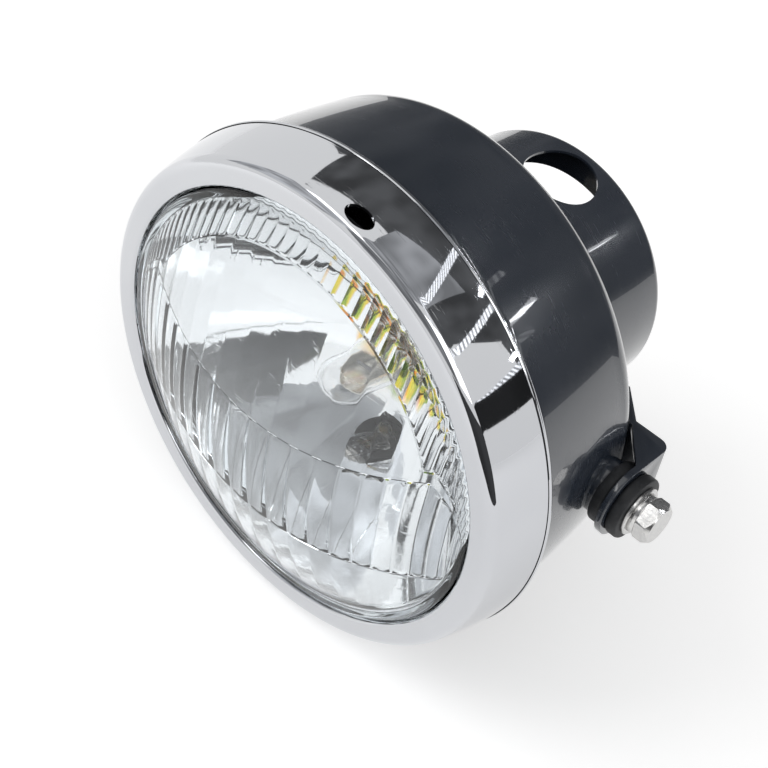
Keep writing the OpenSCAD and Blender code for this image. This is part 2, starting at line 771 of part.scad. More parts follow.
// Rubber grommet that sits in the stay's ear, with rounded flanges
module grommet() {
    a = boss_face + fit;
    r = grommet_d / 2;
    neck = grommet_neck_d / 2;
    hole = spacer_d / 2 + fit;
    edge = 1;
    color("dimgray") rotate([0, 90, 0]) rotate_extrude() polygon(concat(
        [[hole, a], [r - edge, a]],
        [[r, a + edge], [r, stay_x - edge], [r - edge / 2, stay_x - fit], [neck, stay_x - fit]],
        [[neck, stay_x + stay_t + fit], [r - edge / 2, stay_x + stay_t + fit], [r, stay_x + stay_t + edge]],
        [[r, grommet_end - edge], [r - edge, grommet_end], [hole, grommet_end]]
    ));
}

module grommet_right() { grommet(); }
module grommet_left() { on_left() grommet(); }

// Steel sleeve that the bolt clamps inside the grommet
module spacer() {
    color("silver") difference() {
        across(spacer_d / 2, boss_face + fit, grommet_end);
        across(bolt_d / 2 + screw_gap, 0, rim_r + stay_x);
    }
}

module spacer_right() { spacer(); }
module spacer_left() { on_left() spacer(); }

module plain_washer() {
    color("silver") difference() {
        across(washer_d / 2, washer_x, washer_x + washer_t);
        across(bolt_d / 2 + screw_gap, 0, rim_r + stay_x);
    }
}

module plain_washer_right() { plain_washer(); }
module plain_washer_left() { on_left() plain_washer(); }

// Split spring washer
module spring_washer() {
    color("silver") difference() {
        across(spring_d / 2, spring_x, spring_x + spring_t);
        across(bolt_d / 2 + screw_gap, 0, rim_r + stay_x);
        rotate([12, 0, 0]) translate([spring_x - past, 0, -0.4]) cube([spring_t + 2 * past, spring_d, 0.8]);
    }
}

module spring_washer_right() { spring_washer(); }
module spring_washer_left() { on_left() spring_washer(); }

// Hex-head side bolt with a chamfered head
module side_bolt() {
    corner_r = head_af / 2 / cos(30);
    color("silver") {
        intersection() {
            translate([head_x, 0, 0]) rotate([0, 90, 0]) rotate([0, 0, 20]) cylinder(r = corner_r, h = head_h, $fn = 6);
            translate([head_x, 0, 0]) rotate([0, 90, 0])
                cylinder(r1 = corner_r + head_h * 1.7, r2 = head_af / 2 - 0.3, h = head_h);
        }
        across(thread_r, head_x - bolt_l, head_x + 1);
    }
}

module side_bolt_right() { side_bolt(); }
module side_bolt_left() { on_left() side_bolt(); }

headlight_rim();
rim_hook();
rim_screw();
rim_nut_tab();
rim_seal();
lens();
lens_gasket();
lens_sealant();
reflector();
reflector_clip_1();
reflector_clip_2();
reflector_clip_3();
reflector_clip_4();
bulb_glass();
bulb_cap();
bulb_shield();
bulb_retainer();
dust_boot();
bulb_connector();
pilot_glass();
pilot_base();
pilot_holder();
bucket_shell();
cable_cup();
side_boss_right();
stay_right();
grommet_right();
spacer_right();
plain_washer_right();
spring_washer_right();
side_bolt_right();
side_boss_left();
stay_left();
grommet_left();
spacer_left();
plain_washer_left();
spring_washer_left();
side_bolt_left();
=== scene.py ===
import math

import bpy
from mathutils import Matrix, Vector


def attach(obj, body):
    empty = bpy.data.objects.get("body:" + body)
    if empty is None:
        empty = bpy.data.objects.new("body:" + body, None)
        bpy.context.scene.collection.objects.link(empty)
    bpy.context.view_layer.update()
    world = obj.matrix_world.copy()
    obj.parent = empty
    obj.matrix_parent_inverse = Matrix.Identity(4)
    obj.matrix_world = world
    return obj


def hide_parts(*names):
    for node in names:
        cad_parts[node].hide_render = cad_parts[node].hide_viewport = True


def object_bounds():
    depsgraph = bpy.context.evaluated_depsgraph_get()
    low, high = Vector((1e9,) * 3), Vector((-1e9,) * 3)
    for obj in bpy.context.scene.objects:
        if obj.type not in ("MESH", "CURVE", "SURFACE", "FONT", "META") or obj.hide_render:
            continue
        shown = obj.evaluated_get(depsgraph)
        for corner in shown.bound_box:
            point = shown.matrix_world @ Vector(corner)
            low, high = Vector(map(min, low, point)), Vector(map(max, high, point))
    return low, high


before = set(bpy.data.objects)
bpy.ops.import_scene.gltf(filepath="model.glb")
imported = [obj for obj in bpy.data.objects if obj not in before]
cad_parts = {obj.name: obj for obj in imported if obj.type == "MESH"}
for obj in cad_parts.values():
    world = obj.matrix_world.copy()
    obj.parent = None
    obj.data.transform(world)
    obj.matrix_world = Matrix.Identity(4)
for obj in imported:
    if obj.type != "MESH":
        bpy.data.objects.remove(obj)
cad_low, cad_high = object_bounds()


# Camera: a long lens above and to the right of the lamp, at the photograph's viewing angle.
# The lamp faces -Y, +Z is up, and the origin lies where the side bolts' axis crosses the beam.
CAMERA_PLACE = (0.22475, -0.30391, 0.3351)
CAMERA_TURN, CAMERA_TILT, CAMERA_ROLL = 37.44, 46.6, 10.12
FOCAL_MM, SENSOR_MM = 70.3125, 36
aim = (Matrix.Rotation(math.radians(CAMERA_TURN), 4, "Z")
       @ Matrix.Rotation(math.radians(CAMERA_TILT), 4, "X")
       @ Matrix.Rotation(math.radians(CAMERA_ROLL), 4, "Z"))
bpy.ops.object.camera_add(location=CAMERA_PLACE, rotation=aim.to_euler())
camera = bpy.context.object
camera.name = "studio_camera"
camera.data.sensor_width = SENSOR_MM
camera.data.lens = FOCAL_MM
bpy.context.scene.camera = camera
bpy.context.scene.view_settings.view_transform = "Standard"


# Studio: a pale table, white surroundings, two soft boxes, and cards that only reflections see.
# Dark and grey cards give chrome and gloss paint their dark fields, striped ones the bright lines.
def join_nodes(tree, *links):
    """Link pairs of (node, socket name) in a node tree."""
    for (source, output), (target, socket) in links:
        tree.links.new(source.outputs[output], target.inputs[socket])


def add_math(tree, operation, first, second=None, third=None):
    """Math node on values or (node, socket) pairs; gives its own (node, socket) pair."""
    step = tree.nodes.new("ShaderNodeMath")
    step.operation = operation
    for place, value in enumerate((first, second, third)):
        if isinstance(value, tuple):
            tree.links.new(value[0].outputs[value[1]], step.inputs[place])
        elif value is not None:
            step.inputs[place].default_value = value
    return step, "Value"


def white_seen_by(tree):
    """1 for what the camera, a reflection or glass looks at directly, 0 for bounced light."""
    path = tree.nodes.new("ShaderNodeLightPath")
    seen = add_math(tree, "MAXIMUM", (path, "Is Camera Ray"), (path, "Is Glossy Ray"))
    return add_math(tree, "MAXIMUM", seen, (path, "Is Transmission Ray"))


def add_range(tree, value, low, high, out_low=0.0, out_high=1.0):
    """Map a value pair from one range to another, clamped; gives its (node, socket) pair."""
    span = tree.nodes.new("ShaderNodeMapRange")
    for name, number in (("From Min", low), ("From Max", high),
                         ("To Min", out_low), ("To Max", out_high)):
        span.inputs[name].default_value = number
    tree.links.new(value[0].outputs[value[1]], span.inputs["Value"])
    return span, "Result"


AMBIENT = 0.55
surroundings = bpy.data.worlds.new("studio_surroundings")
bpy.context.scene.world = surroundings
surroundings.use_nodes = True
sky = surroundings.node_tree
seen = white_seen_by(sky)
level = add_math(sky, "MULTIPLY_ADD", seen, 1 - AMBIENT, AMBIENT)
sky.nodes["Background"].inputs["Color"].default_value = (1, 1, 1, 1)
join_nodes(sky, (level, (sky.nodes["Background"], "Strength")))

TABLE_R, TABLE_GAP = 5, 0.0001
GLOW_NEAR, GLOW_FAR = (0.3, 0.34), (1.8, 0.52)
bpy.ops.object.select_all(action="DESELECT")
bpy.ops.mesh.primitive_circle_add(
    vertices=96, radius=TABLE_R, fill_type="NGON", location=(0, 0, cad_low.z - TABLE_GAP))
table = bpy.context.object
table.name = "pale_table"
bpy.ops.object.transform_apply(location=True, rotation=True, scale=True)
table_finish = bpy.data.materials.new("pale_table")
table_finish.use_nodes = True
table_tree = table_finish.node_tree
table_paint = table_tree.nodes["Principled BSDF"]
table_paint.inputs["Base Color"].default_value = (0.9, 0.9, 0.9, 1)
table_paint.inputs["Roughness"].default_value = 0.9
table_paint.inputs["Specular IOR Level"].default_value = 0.1
table_paint.inputs["Emission Color"].default_value = (1, 1, 1, 1)
table_seen = white_seen_by(table_tree)
table_spot = table_tree.nodes.new("ShaderNodeTexCoord")
table_reach = table_tree.nodes.new("ShaderNodeVectorMath")
table_reach.operation = "LENGTH"
join_nodes(table_tree, ((table_spot, "Object"), (table_reach, 0)))
glow = add_range(table_tree, (table_reach, "Value"),
                 GLOW_NEAR[0], GLOW_FAR[0], GLOW_NEAR[1], GLOW_FAR[1])
table_level = add_math(table_tree, "MULTIPLY", table_seen, glow)
join_nodes(table_tree, (table_level, (table_paint, "Emission Strength")))
table.data.materials.append(table_finish)


def soft_box(name, place, target, size, power):
    """Square area lamp that faces a point."""
    turn = (Vector(target) - Vector(place)).to_track_quat("-Z", "Y").to_euler()
    bpy.ops.object.light_add(type="AREA", location=place, rotation=turn)
    lamp = bpy.context.object
    lamp.name = name
    lamp.data.size = size
    lamp.data.energy = power


def card(name, place, target, width, height, shade, striped=False):
    """Unevenly lit or striped card that only reflections and glass see."""
    bpy.ops.object.select_all(action="DESELECT")
    turn = (Vector(target) - Vector(place)).to_track_quat("-Z", "Y").to_euler()
    bpy.ops.mesh.primitive_plane_add(size=1, location=place, rotation=turn)
    sheet_of_card = bpy.context.object
    sheet_of_card.name = name
    sheet_of_card.scale = (width, height, 1)
    bpy.ops.object.transform_apply(location=True, rotation=True, scale=True)
    matt = bpy.data.materials.new(name)
    matt.use_nodes = True
    tree = matt.node_tree
    face = tree.nodes["Principled BSDF"]
    face.inputs["Base Color"].default_value = (0, 0, 0, 1)
    face.inputs["Roughness"].default_value = 1
    face.inputs["Specular IOR Level"].default_value = 0
    face.inputs["Emission Color"].default_value = (shade, shade * 1.02, shade * 1.06, 1)
    spot = tree.nodes.new("ShaderNodeTexCoord")
    if striped:
        pattern = tree.nodes.new("ShaderNodeTexWave")
        pattern.bands_direction = "DIAGONAL"
        pattern.inputs["Scale"].default_value = STRIPE_SCALE
        light = add_range(tree, (pattern, "Fac"), 0.35, 0.6, 0.25, 1)
    else:
        pattern = tree.nodes.new("ShaderNodeTexNoise")
        pattern.inputs["Scale"].default_value = 3
        pattern.inputs["Detail"].default_value = 1
        light = add_range(tree, (pattern, "Fac"), 0.34, 0.66, 0.65, 1.35)
    join_nodes(tree, ((spot, "Object"), (pattern, "Vector")), (light, (face, "Emission Strength")))
    sheet_of_card.data.materials.append(matt)
    sheet_of_card.visible_camera = False
    sheet_of_card.visible_diffuse = False
    sheet_of_card.visible_shadow = False


LAMP_CENTRE = (0, 0, 0)
STRIPE_SCALE = 36
soft_box("soft_box_left", (-0.9, -0.9, 1.3), LAMP_CENTRE, size=1.1, power=10)
soft_box("soft_box_right", (1.1, -0.5, 1.0), LAMP_CENTRE, size=0.8, power=5)
for name, place, target, width, height, shade in (
        ("flag_behind", (0.2, 1.1, 0.75), (0.2, 0, 0.75), 3.6, 1.66, 0.13),
        ("flag_above", (0.1, 0.75, 1.5), LAMP_CENTRE, 3.0, 1.0, 0.10),
        ("ceiling", (0.3, -0.05, 1.6), LAMP_CENTRE, 2.2, 0.9, 0.40),
        ("flag_right_front", (0.36, -0.25, 0.035), (0, 0, 0.035), 0.46, 0.245, 0.05),
        ("front_wall", (0.25, -1.15, 0.85), LAMP_CENTRE, 1.5, 0.9, 0.26),
        ("left_wall", (-0.95, -0.72, 0.80), LAMP_CENTRE, 1.3, 1.0, 0.58),
        ("flag_side", (0.75, 0.15, 0.28), LAMP_CENTRE, 0.5, 0.16, 0.02)):
    card(name, place, target, width, height, shade)
for number, place, width, height, shade in (
        (1, (0.75, 0.35, 0.85), 1.3, 0.05, 2.2),
        (2, (0.45, 0.22, 1.1), 1.5, 0.06, 2.0),
        (3, (0.95, 0.45, 0.5), 0.9, 0.05, 1.8),
        (4, (0.80, 0.68, 0.60), 0.55, 0.035, 22.0),
        (5, (0.42, 0.62, 0.95), 0.5, 0.03, 18.0)):
    card(f"light_strip_{number}", place, LAMP_CENTRE, width, height, shade, striped=True)


# Rim: one drawn steel sheet with a rolled hem at the rear edge and a hole punched near the top.
# It is polished and chromed outside and dull inside, and a screw draws it on to the bucket.
# The inner face of the band is also painted near black, as painted shade in the rim's hollow.
MM = 0.001


def clear_selection():
    """Leave edit mode and deselect everything, the CAD nodes too."""
    if bpy.context.object and bpy.context.object.mode == "EDIT":
        bpy.ops.object.mode_set(mode="OBJECT")
    bpy.ops.object.select_all(action="DESELECT")


def arc(centre, radius, start, end, steps):
    """Points on an arc about a centre, by degrees."""
    return [(centre[0] + radius * math.cos(math.radians(start + (end - start) * k / steps)),
             centre[1] + radius * math.sin(math.radians(start + (end - start) * k / steps)))
            for k in range(steps + 1)]


def sheet(line, thickness):
    """Closed outline of a sheet: a line of points and its copy at a distance to the left."""
    def left(a, b):
        way = Vector((b[0] - a[0], b[1] - a[1])).normalized()
        return Vector((-way.y, way.x))
    copy = []
    for k, point in enumerate(line):
        before = left(line[max(k - 1, 0)], line[max(k, 1)])
        after = left(line[min(k, len(line) - 2)], line[min(k + 1, len(line) - 1)])
        middle = (before + after).normalized()
        step = thickness / max(middle.dot(before), 0.3)
        copy.append((point[0] + middle.x * step, point[1] + middle.y * step))
    return list(line) + copy[::-1]


def smooth(piece, angle=30):
    """Shade smooth, with edges sharper than the angle in degrees kept crisp."""
    clear_selection()
    piece.select_set(True)
    bpy.context.view_layer.objects.active = piece
    bpy.ops.object.shade_smooth_by_angle(angle=math.radians(angle))


def turned(name, outline, steps=256, centre=(0, 0), axis="Y"):
    """Turn an outline of (radius, forward) points in mm round the beam, or round X.

    Around X the second number counts along +X. A point on the axis closes the shape there.
    """
    clear_selection()
    points = [(max(r, 0.0005), f) for r, f in outline]
    round_beam = axis == "Y"
    tilt = (math.pi / 2, 0, 0) if round_beam else (0, math.pi / 2, 0)

    def place(f):
        return Vector((centre[0], -f, centre[1]) if round_beam else (f, *centre)) * MM

    bpy.ops.mesh.primitive_circle_add(
        vertices=steps, radius=points[0][0] * MM, location=place(points[0][1]), rotation=tilt)
    piece = bpy.context.object
    piece.name = name
    bpy.ops.object.transform_apply(location=True, rotation=True, scale=True)
    bpy.ops.object.mode_set(mode="EDIT")
    bpy.ops.mesh.select_all(action="SELECT")
    for (ra, fa), (rb, fb) in zip(points, points[1:] + points[:1]):
        grow = rb / ra
        bpy.ops.mesh.extrude_region_move(TRANSFORM_OT_translate={"value": place(fb) - place(fa)})
        bpy.ops.transform.resize(
            value=(grow, 1, grow) if round_beam else (1, grow, grow), center_override=place(fb))
    bpy.ops.mesh.select_all(action="SELECT")
    bpy.ops.mesh.remove_doubles(threshold=0.002 * MM)
    bpy.ops.mesh.dissolve_degenerate(threshold=0.0005 * MM)
    bpy.ops.mesh.select_all(action="SELECT")
    bpy.ops.mesh.normals_make_consistent(inside=False)
    bpy.ops.object.mode_set(mode="OBJECT")
    smooth(piece)
    return piece


def rod(name, radius, start, end, steps=64):
    """Solid cylinder between two points in mm, used as a cutter or a pin."""
    clear_selection()
    way = Vector(end) - Vector(start)
    bpy.ops.mesh.primitive_cylinder_add(
        vertices=steps, radius=radius * MM, depth=way.length * MM,
        location=(Vector(start) + way / 2) * MM, rotation=way.to_track_quat("Z", "Y").to_euler())
    piece = bpy.context.object
    piece.name = name
    bpy.ops.object.transform_apply(location=True, rotation=True, scale=True)
    return piece


def merge_solids(piece, other, operation):
    """Boolean of two pieces by an applied modifier; the second is used up."""
    clear_selection()
    piece.select_set(True)
    bpy.context.view_layer.objects.active = piece
    tool = piece.modifiers.new("cut", "BOOLEAN")
    tool.operation = operation
    tool.solver = "EXACT"
    tool.object = other
    bpy.ops.object.modifier_apply(modifier=tool.name)
    bpy.data.objects.remove(other)


def fit_out(piece, finish, slot, *nodes):
    """Give a finished piece its material, hang it under the root body, and hide the CAD nodes it
    stands for.
    """
    piece.data.materials.clear()
    piece.data.materials.append(finish)
    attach(piece, "root")
    if nodes:
        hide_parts(*nodes)


def marks_group():
    """Shared effect: faint hand smudges and fine scratches, as values over the surface."""
    group = bpy.data.node_groups.new("handling_marks", "ShaderNodeTree")
    for name, kind, default in (("Vector", "NodeSocketVector", None),
                                ("Size", "NodeSocketFloat", 40.0),
                                ("Base Roughness", "NodeSocketFloat", 0.1),
                                ("Amount", "NodeSocketFloat", 0.1)):
        socket = group.interface.new_socket(name=name, in_out="INPUT", socket_type=kind)
        if default is not None:
            socket.default_value = default
    for name in ("Roughness", "Height"):
        group.interface.new_socket(name=name, in_out="OUTPUT", socket_type="NodeSocketFloat")
    enter = group.nodes.new("NodeGroupInput")
    leave = group.nodes.new("NodeGroupOutput")
    smudge = group.nodes.new("ShaderNodeTexNoise")
    smudge.inputs["Detail"].default_value = 5
    smudge.inputs["Roughness"].default_value = 0.62
    smudges = add_range(group, (smudge, "Fac"), 0.46, 0.72)
    turn = group.nodes.new("ShaderNodeMapping")
    turn.inputs["Rotation"].default_value = (0.4, 0.7, 0.3)
    turn.inputs["Scale"].default_value = (1, 22, 2)
    scratch = group.nodes.new("ShaderNodeTexNoise")
    scratch.inputs["Detail"].default_value = 2
    scratches = add_range(group, (scratch, "Fac"), 0.62, 0.74)
    fine = add_math(group, "MULTIPLY", (enter, "Size"), 3)
    join_nodes(group,
               ((enter, "Vector"), (smudge, "Vector")), ((enter, "Size"), (smudge, "Scale")),
               ((enter, "Vector"), (turn, "Vector")), ((turn, "Vector"), (scratch, "Vector")),
               (fine, (scratch, "Scale")))
    both = add_math(group, "MULTIPLY_ADD", scratches, 0.5, smudges)
    rough = add_math(group, "MULTIPLY_ADD", both, (enter, "Amount"), (enter, "Base Roughness"))
    height = add_math(group, "MULTIPLY_ADD", scratches, -0.7, smudges)
    join_nodes(group, (rough, (leave, "Roughness")), (height, (leave, "Height")))
    return group


handling_marks = marks_group()


def new_finish(name, colour, roughness, amount, size, metallic=0.0, bump=0.00002):
    """Principled material with handling marks on roughness and height; gives all its nodes."""
    finish = bpy.data.materials.new(name)
    finish.use_nodes = True
    tree = finish.node_tree
    shader = tree.nodes["Principled BSDF"]
    shader.inputs["Base Color"].default_value = (*colour, 1)
    shader.inputs["Metallic"].default_value = metallic
    place = tree.nodes.new("ShaderNodeTexCoord")
    marks = tree.nodes.new("ShaderNodeGroup")
    marks.node_tree = handling_marks
    marks.inputs["Size"].default_value = size
    marks.inputs["Base Roughness"].default_value = roughness
    marks.inputs["Amount"].default_value = amount
    relief = tree.nodes.new("ShaderNodeBump")
    relief.inputs["Strength"].default_value = 1
    relief.inputs["Distance"].default_value = bump
    join_nodes(tree,
               ((place, "Object"), (marks, "Vector")),
               ((marks, "Roughness"), (shader, "Roughness")),
               ((marks, "Height"), (relief, "Height")),
               ((relief, "Normal"), (shader, "Normal")))
    return finish, tree, shader, place, marks, relief


def add_noise(tree, place, scale, detail=3, roughness=0.5, stretch=None):
    """Noise on Object coordinates; gives its (node, socket) pair."""
    noise = tree.nodes.new("ShaderNodeTexNoise")
    noise.inputs["Scale"].default_value = scale
    noise.inputs["Detail"].default_value = detail
    noise.inputs["Roughness"].default_value = roughness
    if stretch:
        turn = tree.nodes.new("ShaderNodeMapping")
        turn.inputs["Scale"].default_value = stretch
        join_nodes(tree, ((place, "Object"), (turn, "Vector")),
                   ((turn, "Vector"), (noise, "Vector")))
    else:
        join_nodes(tree, ((place, "Object"), (noise, "Vector")))
    return noise, "Fac"


def add_mix(tree, mask, first, second):
    """Colour mix by a mask pair; gives its (node, socket) pair."""
    blend = tree.nodes.new("ShaderNodeMix")
    blend.data_type = "RGBA"
    tree.links.new(mask[0].outputs[mask[1]], blend.inputs["Factor"])
    for socket, value in ((6, first), (7, second)):
        if isinstance(value[0], (int, float)):
            blend.inputs[socket].default_value = (*value, 1)
        else:
            tree.links.new(value[0].outputs[value[1]], blend.inputs[socket])
    return blend, 2


def chrome_finish():
    """Chrome with a gentle swell and haze; its inner face, found by its inward normal, is dull and
    in painted shade.
    """
    finish, tree, shader, place, marks, relief = new_finish(
        "chrome_rim", (0.57, 0.58, 0.60), 0.03, 0.04, 38, metallic=1.0, bump=0.0000035)
    wave = add_noise(tree, place, 26, detail=2)
    haze = add_range(tree, add_noise(tree, place, 9, detail=4), 0.4, 0.7)
    tint = add_mix(tree, haze, (0.59, 0.60, 0.62), (0.535, 0.545, 0.57))
    geometry = tree.nodes.new("ShaderNodeNewGeometry")
    flat = tree.nodes.new("ShaderNodeVectorMath")
    flat.operation = "MULTIPLY"
    flat.inputs[1].default_value = (1, 0, 1)
    reach = tree.nodes.new("ShaderNodeVectorMath")
    reach.operation = "LENGTH"
    facing = tree.nodes.new("ShaderNodeVectorMath")
    facing.operation = "DOT_PRODUCT"
    join_nodes(tree, ((place, "Object"), (flat, 0)), ((flat, "Vector"), (reach, 0)),
               ((flat, "Vector"), (facing, 0)), ((geometry, "Normal"), (facing, 1)))
    # Inner face of the band: rougher for dull steel, and painted near black (0.10) as shade in the
    # hollow.
    inward = add_range(tree, (facing, "Value"), -0.012, -0.022)
    inside = add_math(tree, "MULTIPLY", inward, add_range(tree, (reach, "Value"), 0.0775, 0.0782))
    tint = add_mix(tree, inside, tint, (0.10, 0.10, 0.11))
    rough = add_math(tree, "MULTIPLY_ADD", inside, 0.4, (marks, "Roughness"))
    join_nodes(tree, (tint, (shader, "Base Color")), (rough, (shader, "Roughness")))
    swell = add_math(tree, "MULTIPLY_ADD", wave, 48.0, (marks, "Height"))
    join_nodes(tree, (swell, (relief, "Height")))
    return finish


chrome = chrome_finish()

RIM_R, RIM_BACK, RIM_FACE, RIM_T = 89.0, 35.0, 57.5, 1.0
FACE_R, OPENING_R = 81.5, 76.0
LIP_ROUND, FRONT_ROUND, BAND_BOW = 1.5, 4, 0.5
BAND_TOP, BAND_LENGTH, BAND_ROWS = (85.43, 54.23), 19.23, 14
HEM_CENTRE, HEM_R = (88.2, 36.1), 1.1
SEAT = 55.0
HOLE_R, HOLE_F, HOLE_TURN, HOLE_OVAL = 5.2, 52, 9, 0.58
RIM_SCREW_R, RIM_SCREW_F = 2.2, 45.5
RIM_CUT_IN, RIM_CUT_OUT = 70, 95


def rim_outer(f):
    """Radius of the band's outer face at a forward distance, with its slight bow."""
    along = (f - RIM_BACK) / (BAND_TOP[1] - RIM_BACK)
    return RIM_R + (BAND_TOP[0] - RIM_R) * along + BAND_BOW * 4 * along * (1 - along)


band_rows = [BAND_TOP[1] - BAND_LENGTH * k / BAND_ROWS for k in range(1, BAND_ROWS)]
band = [(rim_outer(f), f) for f in band_rows]
rim_outside = ([(OPENING_R, SEAT + 0.3)]
               + arc((OPENING_R + LIP_ROUND, RIM_FACE - LIP_ROUND), LIP_ROUND, 180, 90, 8)
               + arc((FACE_R, RIM_FACE - FRONT_ROUND), FRONT_ROUND, 90, 10.5, 16)
               + band + arc(HEM_CENTRE, HEM_R, 40, 40 - 320, 20))
rim_inside = [(r - RIM_T, f) for r, f in band[::-1]] + [
    (84.4, 54.0), (83.6, 55.4), (82.2, 56.35), (81.0, 56.5),
    (78.2, 56.5), (77.3, 56.2), (77.0, 55.3)]
rim = turned("chrome_rim", rim_outside + rim_inside, steps=320)
hole_x, hole_z = math.sin(math.radians(HOLE_TURN)), math.cos(math.radians(HOLE_TURN))
oval = rod("cut", HOLE_R, (hole_x * RIM_CUT_IN, -HOLE_F, hole_z * RIM_CUT_IN),
           (hole_x * RIM_CUT_OUT, -HOLE_F, hole_z * RIM_CUT_OUT), steps=96)
bpy.ops.object.mode_set(mode="EDIT")
bpy.ops.mesh.select_all(action="SELECT")
bpy.ops.transform.resize(value=(1, HOLE_OVAL, 1), center_override=(0, -HOLE_F * MM, 0))
bpy.ops.object.mode_set(mode="OBJECT")
merge_solids(rim, oval, "DIFFERENCE")
screw_hole = rod("cut", RIM_SCREW_R, (0, -RIM_SCREW_F, -80), (0, -RIM_SCREW_F, -RIM_CUT_OUT))
merge_solids(rim, screw_hole, "DIFFERENCE")
smooth(rim, 40)
fit_out(rim, chrome, "chrome_rim", "headlight_rim")


# Lens: pressed clear glass, smooth outside, with upright flutes in four fields behind.
# Raised lines part the fields, and a thick plain wall runs round the edge.
def lens_finish(name, tint):
    """Clear glass with a faint ripple."""
    finish, tree, shader, place, marks, relief = new_finish(
        name, tint, 0.0, 0.012, 30, bump=0.000006)
    shader.inputs["Transmission Weight"].default_value = 1
    shader.inputs["IOR"].default_value = 1.5
    ripple = add_noise(tree, place, 70, detail=2)
    height = add_math(tree, "MULTIPLY_ADD", ripple, 4.0, (marks, "Height"))
    join_nodes(tree, (height, (relief, "Height")))
    return finish


clear_glass = lens_finish("lens_glass", (0.995, 0.998, 1.0))
glass_tree = clear_glass.node_tree
absorb = glass_tree.nodes.new("ShaderNodeVolumeAbsorption")
absorb.inputs["Color"].default_value = (0.86, 0.95, 1.0, 1)
absorb.inputs["Density"].default_value = 45
join_nodes(glass_tree, ((absorb, "Volume"), (glass_tree.nodes["Material Output"], "Volume")))

DOME_CENTRE, DOME_R, GLASS_T = -78.64, 153.64, 4.0
LENS_R, SKIRT, WALL_R = 79.5, 50.0, 71.8
COLUMNS = 312
# The four fields from the bottom up: mesh rows, columns to a flute, and height of a flute.
FIELD_ROWS = (26, 24, 40, 18)
FIELD_PERIOD = (12, 12, 12, 6)
FIELD_DEPTH = (0.05, 0.34, 0.07, 0.34)
LINE_H, LINE_HALF, FLUTE_FADE = 0.4, 0.45, 1.4
LINE_RISE, LOW_LINE, MID_LINE, RING_LINE_R = 18, -33, 8, 61


def field_edges(x, chord):
    """Heights where the pattern changes in the column at x, from the bottom up."""
    rise = LINE_RISE * (x / WALL_R) ** 2
    low = max(min(rise + LOW_LINE, 0.2 * chord), -0.8 * chord)
    mid = min(rise + MID_LINE, 0.5 * chord)
    ring = math.sqrt(max(0, RING_LINE_R ** 2 - x * x))
    ring = max(min(ring, 0.9 * chord), mid + 0.1 * chord)
    return -chord, low, mid, ring, chord


def lens_back():
    """Points of the fluted back, column by column, with the raised lines between fields."""
    points = []
    for i in range(COLUMNS + 1):
        side = math.radians(180 * i / COLUMNS - 90)
        x, chord = WALL_R * math.sin(side), WALL_R * abs(math.cos(side))
        edges = field_edges(x, chord)
        half = min(LINE_HALF, 0.02 * chord)
        for k in range(4):
            start = edges[k] + (half if k else 0)
            end = edges[k + 1] - (half if k < 3 else 0)
            across = (i % FIELD_PERIOD[k]) / FIELD_PERIOD[k]
            for row in range(FIELD_ROWS[k] + 1):
                z = start + (end - start) * row / FIELD_ROWS[k]
                inward = min(1, max(0, (WALL_R - math.hypot(x, z)) / FLUTE_FADE))
                rib = FIELD_DEPTH[k] * (1 - (2 * across - 1) ** 2) * inward
                points.append((x, z, rib))
            if k < 3:
                points.append((x, edges[k + 1], LINE_H * min(1, chord / 20)))
    return points


clear_selection()
back_points = lens_back()
rows = len(back_points) // (COLUMNS + 1)
bpy.ops.mesh.primitive_grid_add(x_subdivisions=COLUMNS, y_subdivisions=rows - 1, size=1)
lens = bpy.context.object
lens.name = "fluted_lens"
grid = lens.data.vertices
order = sorted(range(len(grid)), key=lambda n: (round(grid[n].co.x, 6), round(grid[n].co.y, 6)))
inner_r = DOME_R - GLASS_T
for n, (x, z, rib) in zip(order, back_points):
    f = DOME_CENTRE + math.sqrt(inner_r ** 2 - x * x - z * z) - rib
    grid[n].co = Vector((x, -f, z)) * MM
bpy.ops.object.mode_set(mode="EDIT")
bpy.ops.mesh.select_all(action="SELECT")
bpy.ops.mesh.remove_doubles(threshold=0.0008 * MM)
bpy.ops.mesh.select_mode(type="EDGE")
bpy.ops.mesh.select_all(action="DESELECT")
bpy.ops.mesh.select_non_manifold(extend=False, use_boundary=True, use_wire=False,
                                 use_multi_face=False, use_non_contiguous=False, use_verts=False)
wall_f = DOME_CENTRE + math.sqrt(inner_r ** 2 - WALL_R ** 2)
wall_line = [(WALL_R, wall_f), (WALL_R + 0.1, wall_f - 0.5), (WALL_R + 0.1, SKIRT + 0.5),
             (WALL_R + 0.6, SKIRT), (LENS_R - 0.5, SKIRT), (LENS_R, SKIRT + 0.5),
             (LENS_R, SEAT - 0.6), (LENS_R - 0.6, SEAT)]
shoulder = [(76.2, SEAT), (75.7, SEAT + 0.15), (75.5, SEAT + 0.7), (75.1, SEAT + 1.35),
            (74.5, SEAT + 1.85), (73.8, SEAT + 2.15), (73.0, SEAT + 2.3), (72.2, SEAT + 2.33)]
DOME_EDGE_R, DOME_RINGS = 71.4, 40
outer_line = wall_line + shoulder
for k in range(DOME_RINGS):
    r = DOME_EDGE_R * (1 - k / DOME_RINGS)
    outer_line.append((r, DOME_CENTRE + math.sqrt(DOME_R ** 2 - r * r)))
for (ra, fa), (rb, fb) in zip(outer_line, outer_line[1:]):
    bpy.ops.mesh.extrude_region_move(TRANSFORM_OT_translate={"value": (0, (fa - fb) * MM, 0)})
    bpy.ops.transform.resize(value=(rb / ra, 1, rb / ra), center_override=(0, -fb * MM, 0))
bpy.ops.mesh.extrude_region_move(
    TRANSFORM_OT_translate={"value": (0, (outer_line[-1][1] - DOME_CENTRE - DOME_R) * MM, 0)})
bpy.ops.mesh.merge(type="CENTER")
bpy.ops.mesh.select_all(action="SELECT")
bpy.ops.mesh.normals_make_consistent(inside=False)
bpy.ops.object.mode_set(mode="OBJECT")
smooth(lens, 25)
fit_out(lens, clear_glass, "lens_glass", "lens")


